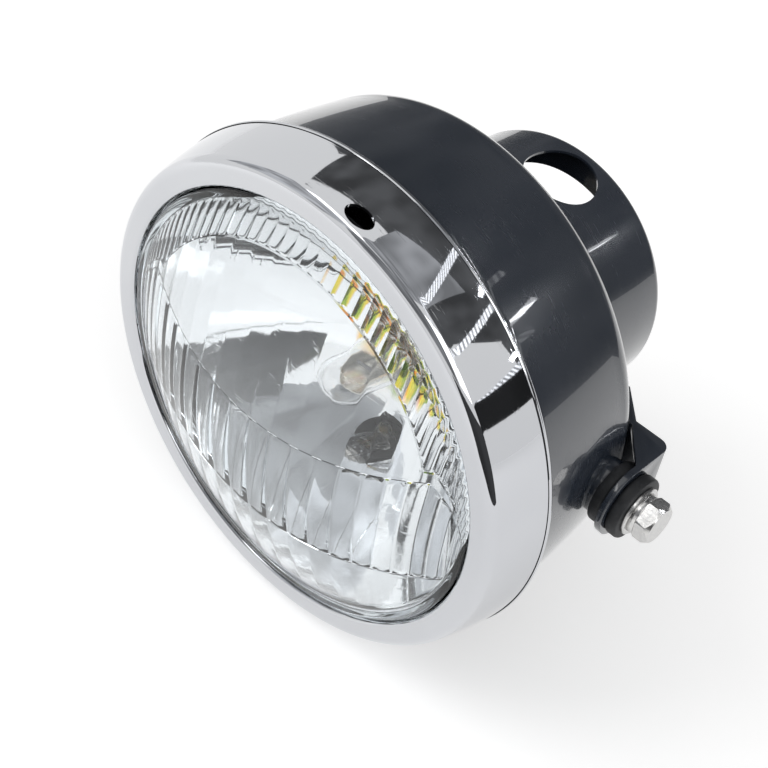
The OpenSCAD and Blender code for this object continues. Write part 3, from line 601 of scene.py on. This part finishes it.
# Seals: black rubber between rim and lens and between rim and bucket, and a bead of sealant.
# They stay as packed, with a moulded rubber finish and a grey sealant.
def rubber_finish(name, colour, roughness):
    """Moulded rubber, sealant or plastic, with grain and settled dust."""
    finish, tree, shader, place, marks, relief = new_finish(
        name, colour, roughness, 0.12, 60, bump=0.00006)
    dust = add_range(tree, add_noise(tree, place, 140, detail=5, roughness=0.7), 0.5, 0.8)
    tint = add_mix(tree, dust, colour, tuple(min(1, c * 2.2 + 0.012) for c in colour))
    grain = add_noise(tree, place, 1500, detail=2)
    height = add_math(tree, "MULTIPLY_ADD", grain, 0.6, (marks, "Height"))
    join_nodes(tree, (tint, (shader, "Base Color")), (height, (relief, "Height")))
    shader.inputs["Specular IOR Level"].default_value = 0.35
    return finish


rubber = rubber_finish("black_rubber", (0.014, 0.015, 0.017), 0.5)
bead = rubber_finish("sealant", (0.46, 0.48, 0.50), 0.5)


def keep_node(node, finish):
    """Leave a CAD node's shape as it is and give it a finish."""
    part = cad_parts[node]
    part.data.materials.clear()
    part.data.materials.append(finish)


for node in ("rim_seal", "lens_gasket"):
    keep_node(node, rubber)
keep_node("lens_sealant", bead)


# Reflector: a drawn steel parabola with a bright aluminium coat, and a yellow-zinc bulb neck.
# A short tube below holds the pilot bulb, and the flange carries the lens.
def mirror_finish():
    """Bright coat outside a radius, and yellow passivate in greens and oranges within it."""
    coat = (0.88, 0.885, 0.89)
    finish, tree, shader, place, marks, relief = new_finish(
        "mirror_coat", coat, 0.03, 0.05, 22, metallic=1.0, bump=0.00001)
    flat = tree.nodes.new("ShaderNodeVectorMath")
    flat.operation = "MULTIPLY"
    flat.inputs[1].default_value = (1, 0, 1)
    reach = tree.nodes.new("ShaderNodeVectorMath")
    reach.operation = "LENGTH"
    join_nodes(tree, ((place, "Object"), (flat, 0)), ((flat, "Vector"), (reach, 0)))
    neck = add_range(tree, (reach, "Value"), 0.0305, 0.0270)
    film = tree.nodes.new("ShaderNodeValToRGB")
    film.color_ramp.elements[0].position = 0.36
    film.color_ramp.elements[0].color = (0.80, 0.27, 0.07, 1)
    film.color_ramp.elements[1].position = 0.64
    film.color_ramp.elements[1].color = (0.30, 0.42, 0.05, 1)
    film.color_ramp.elements.new(0.5).color = (0.78, 0.62, 0.08, 1)
    cloud = add_noise(tree, place, 55, detail=2)
    join_nodes(tree, (cloud, (film, "Fac")))
    tint = add_mix(tree, neck, coat, (film, "Color"))
    join_nodes(tree, (tint, (shader, "Base Color")))
    return finish


mirror = mirror_finish()
VERTEX, FOCAL, MOUTH_R, REFLECTOR_T = -10.2, 24.0, 75.5, 0.8
NECK_R, NECK_HOLE_R, NECK_BACK, NECK_ROUND = 22.0, 19.0, -12.16, 0.6
FLANGE_F, FLANGE_ROUND, DISH_ROWS = 49.2, 0.5, 56
PILOT_Z, TUBE_R, TUBE_BACK = -42, 7.5, -5.8


def dish_f(r):
    """Forward place of the parabola at a radius."""
    return VERTEX + r * r / (4 * FOCAL)


dish_radii = [NECK_R + (MOUTH_R - NECK_R) * k / DISH_ROWS for k in range(DISH_ROWS + 1)]
reflector_line = (
    [(NECK_HOLE_R, NECK_BACK), (NECK_R - NECK_ROUND, NECK_BACK), (NECK_R, NECK_BACK + NECK_ROUND)]
    + [(r, dish_f(r)) for r in dish_radii]
    + [(76.1, FLANGE_F), (80.9, FLANGE_F), (81.5, FLANGE_F + FLANGE_ROUND), (81.5, FLANGE_F + 2)])
reflector = turned("reflector_dish", sheet(reflector_line, -REFLECTOR_T), steps=256)
tube = turned("tube", [(TUBE_R, TUBE_BACK), (8.3, TUBE_BACK), (8.3, 18.0), (TUBE_R, 18.0)],
              steps=96, centre=(0, PILOT_Z))
dish_space = turned(
    "dish_space", [(0, VERTEX)] + [(r, dish_f(r)) for r in range(4, 74, 2)] + [(73, 60), (0, 60)],
    steps=256)
merge_solids(tube, dish_space, "DIFFERENCE")
tube_hole = rod("cut", 7.9, (0, 8, PILOT_Z), (0, -40, PILOT_Z), steps=96)
merge_solids(reflector, tube_hole, "DIFFERENCE")
clear_selection()
tube.select_set(True)
reflector.select_set(True)
bpy.context.view_layer.objects.active = reflector
bpy.ops.object.join()
smooth(reflector, 25)
fit_out(reflector, mirror, "mirror_coat", "reflector")


# Main bulb: a capped glass envelope with two coiled filaments, on a flanged metal base.
# A half-tube shield under the front filament cuts off the dipped beam.
def metal_finish(name, colour, roughness, amount, size, bump=0.00002):
    """Bare or plated metal with tarnish in patches and fine lines."""
    finish, tree, shader, place, marks, relief = new_finish(
        name, colour, roughness, amount, size, metallic=1.0, bump=bump)
    tarnish = add_range(tree, add_noise(tree, place, 90, detail=4, roughness=0.6), 0.45, 0.75)
    tint = add_mix(tree, tarnish, colour, tuple(c * 0.72 for c in colour))
    fine = add_noise(tree, place, 700, detail=2, stretch=(1, 6, 1))
    height = add_math(tree, "MULTIPLY_ADD", fine, 0.4, (marks, "Height"))
    join_nodes(tree, (tint, (shader, "Base Color")), (height, (relief, "Height")))
    return finish


bulb_metal = metal_finish("bulb_metal", (0.66, 0.64, 0.60), 0.22, 0.16, 120)
tungsten = metal_finish("tungsten", (0.33, 0.33, 0.35), 0.3, 0.2, 300)
bulb_clear = lens_finish("bulb_glass", (1.0, 1.0, 1.0))

ENVELOPE_R, ENVELOPE_IN_R, ENVELOPE_BACK, ENVELOPE_TOP = 8.5, 7.5, -0.1, 30.44
envelope_line = (
    [(ENVELOPE_R, ENVELOPE_BACK), (ENVELOPE_R, ENVELOPE_TOP)]
    + arc((0, ENVELOPE_TOP), ENVELOPE_R, 12, 84, 8) + [(0, 38.94), (0, 37.94)]
    + arc((0, ENVELOPE_TOP), ENVELOPE_IN_R, 84, 12, 8)
    + [(ENVELOPE_IN_R, ENVELOPE_TOP), (ENVELOPE_IN_R, ENVELOPE_BACK)])
bulb = turned("bulb_envelope", envelope_line, steps=96)
fit_out(bulb, bulb_clear, "bulb_glass", "bulb_glass")

PLUG_R, PLUG_BACK, BULB_FLANGE = 12, -25.86, -13.06
cap_line = [
    (0, PLUG_BACK), (11.3, PLUG_BACK), (PLUG_R, -25.2), (PLUG_R, -13.86),
    (21.2, -13.86), (21.5, -13.6), (21.5, -13.3), (21.2, BULB_FLANGE),
    (11.4, BULB_FLANGE), (11, BULB_FLANGE + 0.5), (11, -2.4), (10.7, -1.9),
    (10, -1.3), (10, 3.5), (9.7, 3.94), (8.6, 3.94), (8.6, -0.2), (0, -0.2)]
cap = turned("bulb_plug", cap_line, steps=128)
BLADE_SIZE, BLADE_Y, BLADE_EDGE = (7.8 * MM, 9 * MM, 0.8 * MM), 29.36, 0.15


def blade(x, z, turn):
    """One contact blade behind the plug, with softened edges."""
    clear_selection()
    bpy.ops.mesh.primitive_cube_add(
        size=1, location=(x * MM, BLADE_Y * MM, z * MM), rotation=(0, turn, 0))
    piece = bpy.context.object
    piece.scale = BLADE_SIZE
    bpy.ops.object.transform_apply(location=True, rotation=True, scale=True)
    edge = piece.modifiers.new("edge", "BEVEL")
    edge.width = BLADE_EDGE * MM
    edge.segments = 2
    bpy.ops.object.modifier_apply(modifier=edge.name)
    return piece


blades = [blade(0, 7, 0), blade(-8, -3, math.pi / 2), blade(8, -3, math.pi / 2)]
clear_selection()
for piece in blades:
    piece.select_set(True)
cap.select_set(True)
bpy.context.view_layer.objects.active = cap
bpy.ops.object.join()
smooth(cap)
fit_out(cap, bulb_metal, "bulb_metal", "bulb_cap")

keep_node("bulb_shield", bulb_metal)


def coil(name, start, turns, pitch, radius, wire, lead):
    """Coiled filament along X with two leads, a bevelled curve made a mesh."""
    clear_selection()
    data = bpy.data.curves.new(name, "CURVE")
    data.dimensions = "3D"
    data.bevel_depth = wire * MM
    data.bevel_resolution = 1
    path = data.splines.new("POLY")
    x, y, z = start
    end_x, low_z = x + turns * pitch, z - 1
    wound = [(x + pitch * k / 10, y + radius * math.sin(k * math.pi / 5),
              z + radius * math.cos(k * math.pi / 5)) for k in range(turns * 10 + 1)]
    points = ([(x, y + lead, low_z), (x, y, low_z)] + wound
              + [(end_x, y, low_z), (end_x, y + lead, low_z)])
    path.points.add(len(points) - 1)
    for spot, point in zip(path.points, points):
        spot.co = (*(Vector(point) * MM), 1)
    piece = bpy.data.objects.new(name, data)
    bpy.context.collection.objects.link(piece)
    clear_selection()
    piece.select_set(True)
    bpy.context.view_layer.objects.active = piece
    bpy.ops.object.convert(target="MESH")
    return bpy.context.object


main_filament = coil("filament_main", (-2.6, -14, 0.6), 13, 0.4, 0.55, 0.11, 13)
dip_filament = coil("filament_dipped", (-2.6, -22.5, 1.2), 13, 0.4, 0.55, 0.11, 21.5)
for filament in (main_filament, dip_filament):
    smooth(filament, 60)
    fit_out(filament, tungsten, "bulb_metal")


# Bulb fixing: a sprung ring, a stepped rubber boot and a nylon connector on the blades.
# The boot keeps water off the neck, and the connector takes the bulb's three blades.
spring_steel = metal_finish("spring_steel", (0.42, 0.42, 0.44), 0.3, 0.2, 90)
keep_node("bulb_retainer", spring_steel)
for node in ("reflector_clip_1", "reflector_clip_2", "reflector_clip_3", "reflector_clip_4"):
    keep_node(node, spring_steel)

BOOT_T, BOOT_ROUND = 2, 2
boot_line = ([(24.9, -7.16), (25.0, -8.0), (24.9, -8.8), (24.9, -16.4)]
             + arc((22.9, -17.86), BOOT_ROUND, 0, -90, 6)
             + arc((16.1, -21.86), BOOT_ROUND, 90, 180, 6) + [(14.1, -24.86)])
boot = turned("rubber_boot", sheet(boot_line, -BOOT_T), steps=160)
fit_out(boot, rubber, "black_rubber", "dust_boot")


def soft_edges(node, name, width, segments=2):
    """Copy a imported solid, merge it, and give its edges a small radius."""
    clear_selection()
    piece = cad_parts[node].copy()
    piece.data = piece.data.copy()
    piece.name = name
    piece.parent = None
    for key in list(piece.keys()):
        del piece[key]
    bpy.context.collection.objects.link(piece)
    piece.select_set(True)
    bpy.context.view_layer.objects.active = piece
    bpy.ops.object.mode_set(mode="EDIT")
    bpy.ops.mesh.select_all(action="SELECT")
    bpy.ops.mesh.remove_doubles(threshold=0.001 * MM)
    bpy.ops.mesh.dissolve_limited(angle_limit=math.radians(0.5))
    bpy.ops.object.mode_set(mode="OBJECT")
    edge = piece.modifiers.new("edge", "BEVEL")
    edge.width = width * MM
    edge.segments = segments
    edge.limit_method = "ANGLE"
    edge.angle_limit = math.radians(30)
    edge.use_clamp_overlap = True
    bpy.ops.object.modifier_apply(modifier=edge.name)
    smooth(piece, 35)
    return piece


nylon = rubber_finish("connector_plastic", (0.62, 0.58, 0.50), 0.42)
connector = soft_edges("bulb_connector", "connector_block", 0.5, 3)
fit_out(connector, nylon, "connector_plastic", "bulb_connector")


# Pilot bulb: a small glass envelope in a metal base, pushed into the reflector's lower tube.
# A rubber holder with a flange keeps it there.
PILOT_R, PILOT_IN_R, PILOT_BACK, PILOT_TOP = 4.3, 3.6, 6.2, 17.9
pilot_line = (
    [(PILOT_R, PILOT_BACK), (PILOT_R, PILOT_TOP)] + arc((0, PILOT_TOP), PILOT_R, 12, 84, 6)
    + [(0, 22.2), (0, 21.5)] + arc((0, PILOT_TOP), PILOT_IN_R, 84, 12, 6)
    + [(PILOT_IN_R, PILOT_TOP), (PILOT_IN_R, PILOT_BACK)])
pilot_glass = turned("pilot_envelope", pilot_line, steps=64, centre=(0, PILOT_Z))
fit_out(pilot_glass, bulb_clear, "bulb_glass", "pilot_glass")
keep_node("pilot_base", bulb_metal)
keep_node("pilot_holder", rubber)
pilot_filament = coil("filament_pilot", (-1.2, -14.5, PILOT_Z), 8, 0.3, 0.35, 0.08, 8)
smooth(pilot_filament, 60)
fit_out(pilot_filament, tungsten, "bulb_metal")


# Bucket: one drawn steel shell, joggled at the front for the rim, rounded at the back.
# It is stoved in gloss blue-black paint with a little dust and faint orange peel.
def paint_finish():
    """Gloss blue-black paint under a clear coat, with orange peel and dust on what faces up."""
    finish, tree, shader, place, marks, relief = new_finish(
        "black_paint", (0.018, 0.023, 0.033), 0.22, 0.10, 30, bump=0.000012)
    shader.inputs["Coat Weight"].default_value = 1
    shader.inputs["Coat Roughness"].default_value = 0.035
    shade = add_range(tree, add_noise(tree, place, 14, detail=3), 0.3, 0.7)
    paint = add_mix(tree, shade, (0.017, 0.022, 0.031), (0.022, 0.028, 0.040))
    normal = tree.nodes.new("ShaderNodeNewGeometry")
    split = tree.nodes.new("ShaderNodeSeparateXYZ")
    join_nodes(tree, ((normal, "Normal"), (split, "Vector")))
    up = add_range(tree, (split, "Z"), 0.2, 1.0)
    specks = add_range(tree, add_noise(tree, place, 900, detail=4, roughness=0.75), 0.66, 0.74)
    dust = add_math(tree, "MULTIPLY", specks, up)
    dust = add_math(tree, "MULTIPLY", dust, 0.10)
    tint = add_mix(tree, dust, paint, (0.30, 0.30, 0.30))
    join_nodes(tree, (tint, (shader, "Base Color")))
    peel = add_noise(tree, place, 420, detail=1)
    height = add_math(tree, "MULTIPLY_ADD", peel, 0.55, (marks, "Height"))
    join_nodes(tree, (height, (relief, "Height")))
    return finish


paint = paint_finish()

SIDE_FRONT, SIDE_BACK, SIDE_ROWS = 34, -7, 16
SIDE_LENGTH, SIDE_BACK_R, SIDE_FLARE, SIDE_BOW = 41, 82.7, 3.2, 0.5
CORNER_CENTRE, CORNER_R = (73.7, SIDE_BACK), 9
BACK_SLOPE, BACK_HOLE_R, BUCKET_T, BARREL_HOLE_R = 15, 44.0, 1, 7.1


def bucket_outer(f):
    """Radius of the bucket's side at a forward distance, with its slight bow."""
    along = (f - SIDE_BACK) / SIDE_LENGTH
    return SIDE_BACK_R + SIDE_FLARE * along + SIDE_BOW * 4 * along * (1 - along)


slope_rad = math.radians(BACK_SLOPE)
slope = math.tan(slope_rad)
side_rows = [SIDE_FRONT - SIDE_LENGTH * k / SIDE_ROWS for k in range(1, SIDE_ROWS)]
back_end = (CORNER_CENTRE[0] + CORNER_R * math.sin(slope_rad),
            SIDE_BACK - CORNER_R * math.cos(slope_rad))
bucket_line = ([(82.8, 42.0), (82.8, 38.3), (83.0, 37.8), (85.6, 34.4), (85.9, 33.6)]
               + [(bucket_outer(f), f) for f in side_rows]
               + arc(CORNER_CENTRE, CORNER_R, 0, BACK_SLOPE - 90, 20)
               + [(BACK_HOLE_R, back_end[1] - (back_end[0] - BACK_HOLE_R) * slope)])
bucket = turned("painted_bucket", sheet(bucket_line, -BUCKET_T), steps=320)
merge_solids(bucket, rod("cut", BARREL_HOLE_R, (-95, 0, 0), (95, 0, 0)), "DIFFERENCE")
smooth(bucket, 40)
fit_out(bucket, paint, "black_paint", "bucket_shell")


# Cable cup: a second drawn cup, spot-welded to the bucket's back and painted with it.
# A loom can leave by the large round hole in its top or by the wide opening in its rear wall.
CUP_R, CUP_BACK, CUP_T, CUP_OPENING_R, CUP_CORNER = 49, -75, 1, 36, 4
FILLET_R, FLANGE_R, FLANGE_DROP = 3, 55.0, 1.1
TOP_HOLE_R, TOP_HOLE_Y, TOP_HOLE_TURN = 13, 56.5, 8
TOP_CUT_IN, TOP_CUT_OUT = 25, 60


def flange_f(r):
    """Rear face of the cup's flange, one sheet behind the bucket's back."""
    return back_end[1] - (back_end[0] - r) * slope - FLANGE_DROP / math.cos(slope_rad)


fillet_start = CUP_R + FILLET_R * (1 - math.sin(slope_rad))
fillet_f = flange_f(fillet_start) - FILLET_R * math.cos(slope_rad)
cup_line = ([(FLANGE_R, flange_f(FLANGE_R)), (53.5, flange_f(53.5))]
            + arc((CUP_R + FILLET_R, fillet_f), FILLET_R, 90 + BACK_SLOPE, 180, 8)
            + [(CUP_R, -50), (CUP_R, -60)]
            + arc((CUP_R - CUP_CORNER, CUP_BACK + CUP_CORNER), CUP_CORNER, 0, -90, 12)
            + [(CUP_OPENING_R, CUP_BACK)])
cup = turned("painted_cup", sheet(cup_line, -CUP_T), steps=256)
cup_turn = math.radians(TOP_HOLE_TURN)
hole_x, hole_z = math.sin(cup_turn), math.cos(cup_turn)
top_hole = rod("cut", TOP_HOLE_R, (hole_x * TOP_CUT_IN, TOP_HOLE_Y, hole_z * TOP_CUT_IN),
               (hole_x * TOP_CUT_OUT, TOP_HOLE_Y, hole_z * TOP_CUT_OUT), steps=128)
merge_solids(cup, top_hole, "DIFFERENCE")
smooth(cup, 40)
fit_out(cup, paint, "black_paint", "cable_cup")

WELDS, WELD_TURN, WELD_CIRCLE, WELD_R, WELD_FLATNESS = 10, 12, 52.3, 2.1, 0.16
welds = []
for k in range(WELDS):
    way = math.radians(360 / WELDS * k + WELD_TURN)
    outward = Vector((math.sin(way), 0, math.cos(way)))
    spot = outward * WELD_CIRCLE + Vector((0, -flange_f(WELD_CIRCLE), 0))
    rear = outward * math.sin(slope_rad) + Vector((0, math.cos(slope_rad), 0))
    clear_selection()
    bpy.ops.mesh.primitive_uv_sphere_add(
        segments=24, ring_count=12, radius=WELD_R * MM, location=spot * MM,
        rotation=rear.to_track_quat("Z", "Y").to_euler())
    dimple = bpy.context.object
    dimple.scale = (1, 1, WELD_FLATNESS)
    bpy.ops.object.transform_apply(location=True, rotation=True, scale=True)
    welds.append(dimple)
clear_selection()
for dimple in welds:
    dimple.select_set(True)
bpy.context.view_layer.objects.active = welds[0]
bpy.ops.object.join()
welds[0].name = "cup_spot_welds"
smooth(welds[0], 60)
fit_out(welds[0], paint, "black_paint")


# Side mounts: a welded boss, a folded stay, a rubber grommet on a steel sleeve, washers and a bolt.
# Both sides are the same, and the left one is a mirrored copy with its own mesh.
def zinc_finish():
    """Zinc plate with a fine spangle."""
    finish = metal_finish("zinc_steel", (0.60, 0.60, 0.59), 0.2, 0.12, 160, bump=0.00001)
    tree = finish.node_tree
    shader = tree.nodes["Principled BSDF"]
    place = next(n for n in tree.nodes if n.bl_idname == "ShaderNodeTexCoord")
    spangle = tree.nodes.new("ShaderNodeTexVoronoi")
    spangle.inputs["Scale"].default_value = 900
    join_nodes(tree, ((place, "Object"), (spangle, "Vector")))
    mask = add_range(tree, (spangle, "Distance"), 0.1, 0.7)
    tint = add_mix(tree, mask, (0.64, 0.635, 0.62), (0.56, 0.555, 0.55))
    join_nodes(tree, (tint, (shader, "Base Color")))
    return finish


zinc = zinc_finish()


def mirror_copy(piece, name):
    """Left-hand copy of a right-hand piece, with its own mesh."""
    clear_selection()
    piece.select_set(True)
    bpy.context.view_layer.objects.active = piece
    bpy.ops.object.duplicate()
    copy = bpy.context.object
    copy.name = name
    bpy.ops.object.mode_set(mode="EDIT")
    bpy.ops.mesh.select_all(action="SELECT")
    bpy.ops.transform.resize(value=(-1, 1, 1), center_override=(0, 0, 0))
    bpy.ops.mesh.select_all(action="SELECT")
    bpy.ops.mesh.normals_make_consistent(inside=False)
    bpy.ops.object.mode_set(mode="OBJECT")
    smooth(copy, 35)
    return copy


# Places along X, from the bolt's tip to the far face of its head.
TIP_X, SHANK_X, UNDER_HEAD_X, HEAD_X, HEAD_END = 71.0, 92.4, 100.73, 103.38, 106.03
ACROSS_FLATS, HEAD_H, HEAD_TURN = 13, 5.3, 20
THREAD_R, CREST_R, THREAD_PITCH, THREADS = 3.35, 3.9, 1.25, 16
GROMMET_X, GROMMET_END, BORE_R = 86.13, 97.43, 4.2
WASHER_X, WASHER_END = 97.53, 98.73


def hex_bolt():
    """Hex head with a chamfered top, a plain shank and rolled threads at the tip."""
    clear_selection()
    corner = ACROSS_FLATS / 2 / math.cos(math.radians(30))
    bpy.ops.mesh.primitive_cylinder_add(
        vertices=6, radius=corner * MM, depth=HEAD_H * MM, location=(HEAD_X * MM, 0, 0),
        rotation=(0, math.pi / 2, 0))
    head = bpy.context.object
    bpy.ops.object.transform_apply(location=True, rotation=True, scale=True)
    bpy.ops.object.mode_set(mode="EDIT")
    bpy.ops.mesh.select_all(action="SELECT")
    bpy.ops.transform.rotate(
        value=math.radians(HEAD_TURN), orient_axis="X", center_override=(0, 0, 0))
    bpy.ops.object.mode_set(mode="OBJECT")
    cone_line = [(0, UNDER_HEAD_X), (7.1, UNDER_HEAD_X), (7.45, 101.1), (7.45, 104.3),
                 (6.2, HEAD_END), (0, HEAD_END)]
    merge_solids(head, turned("cone", cone_line, steps=96, axis="X"), "INTERSECT")
    shank_line = [(0, TIP_X), (3.1, TIP_X), (3.3, TIP_X + 0.3)]
    for k in range(THREADS):
        root_x = TIP_X + 0.6 + THREAD_PITCH * k
        shank_line += [(THREAD_R, root_x), (CREST_R, root_x + 0.5),
                       (CREST_R, root_x + 0.65), (THREAD_R, root_x + 1.15)]
    shank_line += [(CREST_R, SHANK_X), (CREST_R, 101.0), (0, 101.0)]
    shank = turned("shank", shank_line, steps=64, axis="X")
    clear_selection()
    shank.select_set(True)
    head.select_set(True)
    bpy.context.view_layer.objects.active = head
    bpy.ops.object.join()
    smooth(head, 30)
    return head


bolt = hex_bolt()
bolt.name = "side_bolt_right"
grommet_line = [
    (5.6, GROMMET_X), (10.1, GROMMET_X), (10.7, 86.35), (11.0, 86.95),
    (11.0, 89.4), (10.8, 90.0), (10.3, 90.45), (7.5, 90.53),
    (7.5, 93.03), (10.3, 93.1), (10.8, 93.55), (11.0, 94.15),
    (11.0, 96.6), (10.7, 97.2), (10.1, GROMMET_END), (5.6, GROMMET_END)]
sleeve_line = [(BORE_R, GROMMET_X), (5.3, GROMMET_X), (5.5, 86.33),
               (5.5, 97.23), (5.3, GROMMET_END), (BORE_R, GROMMET_END)]
washer_line = [(BORE_R, WASHER_X), (8.3, WASHER_X), (8.5, 97.7),
               (8.5, 98.45), (8.2, WASHER_END), (BORE_R, WASHER_END)]
grommet = turned("grommet_right", grommet_line, steps=128, axis="X")
sleeve = turned("spacer_right", sleeve_line, steps=96, axis="X")
washer = turned("plain_washer_right", washer_line, steps=96, axis="X")
boss = soft_edges("side_boss_right", "side_boss_right", 0.35, 3)
stay = soft_edges("stay_right", "stay_right", 0.3, 3)
split_washer = soft_edges("spring_washer_right", "spring_washer_right", 0.15)

for piece, finish, slot in ((bolt, zinc, "zinc_steel"), (grommet, rubber, "black_rubber"),
                            (sleeve, zinc, "zinc_steel"), (washer, zinc, "zinc_steel"),
                            (boss, paint, "black_paint"), (stay, paint, "black_paint"),
                            (split_washer, zinc, "zinc_steel")):
    right = piece.name.split(".")[0]
    left = right.replace("_right", "_left")
    other = mirror_copy(piece, left + "_piece")
    piece.name = right + "_piece"
    fit_out(piece, finish, slot, right)
    fit_out(other, finish, slot, left)


# Rim fixing: a hook welded inside the top of the rim, and a screw into a tab at the bottom.
# They are zinc-plated steel and hardly show from outside.
for node in ("rim_hook", "rim_nut_tab", "rim_screw"):
    keep_node(node, zinc)
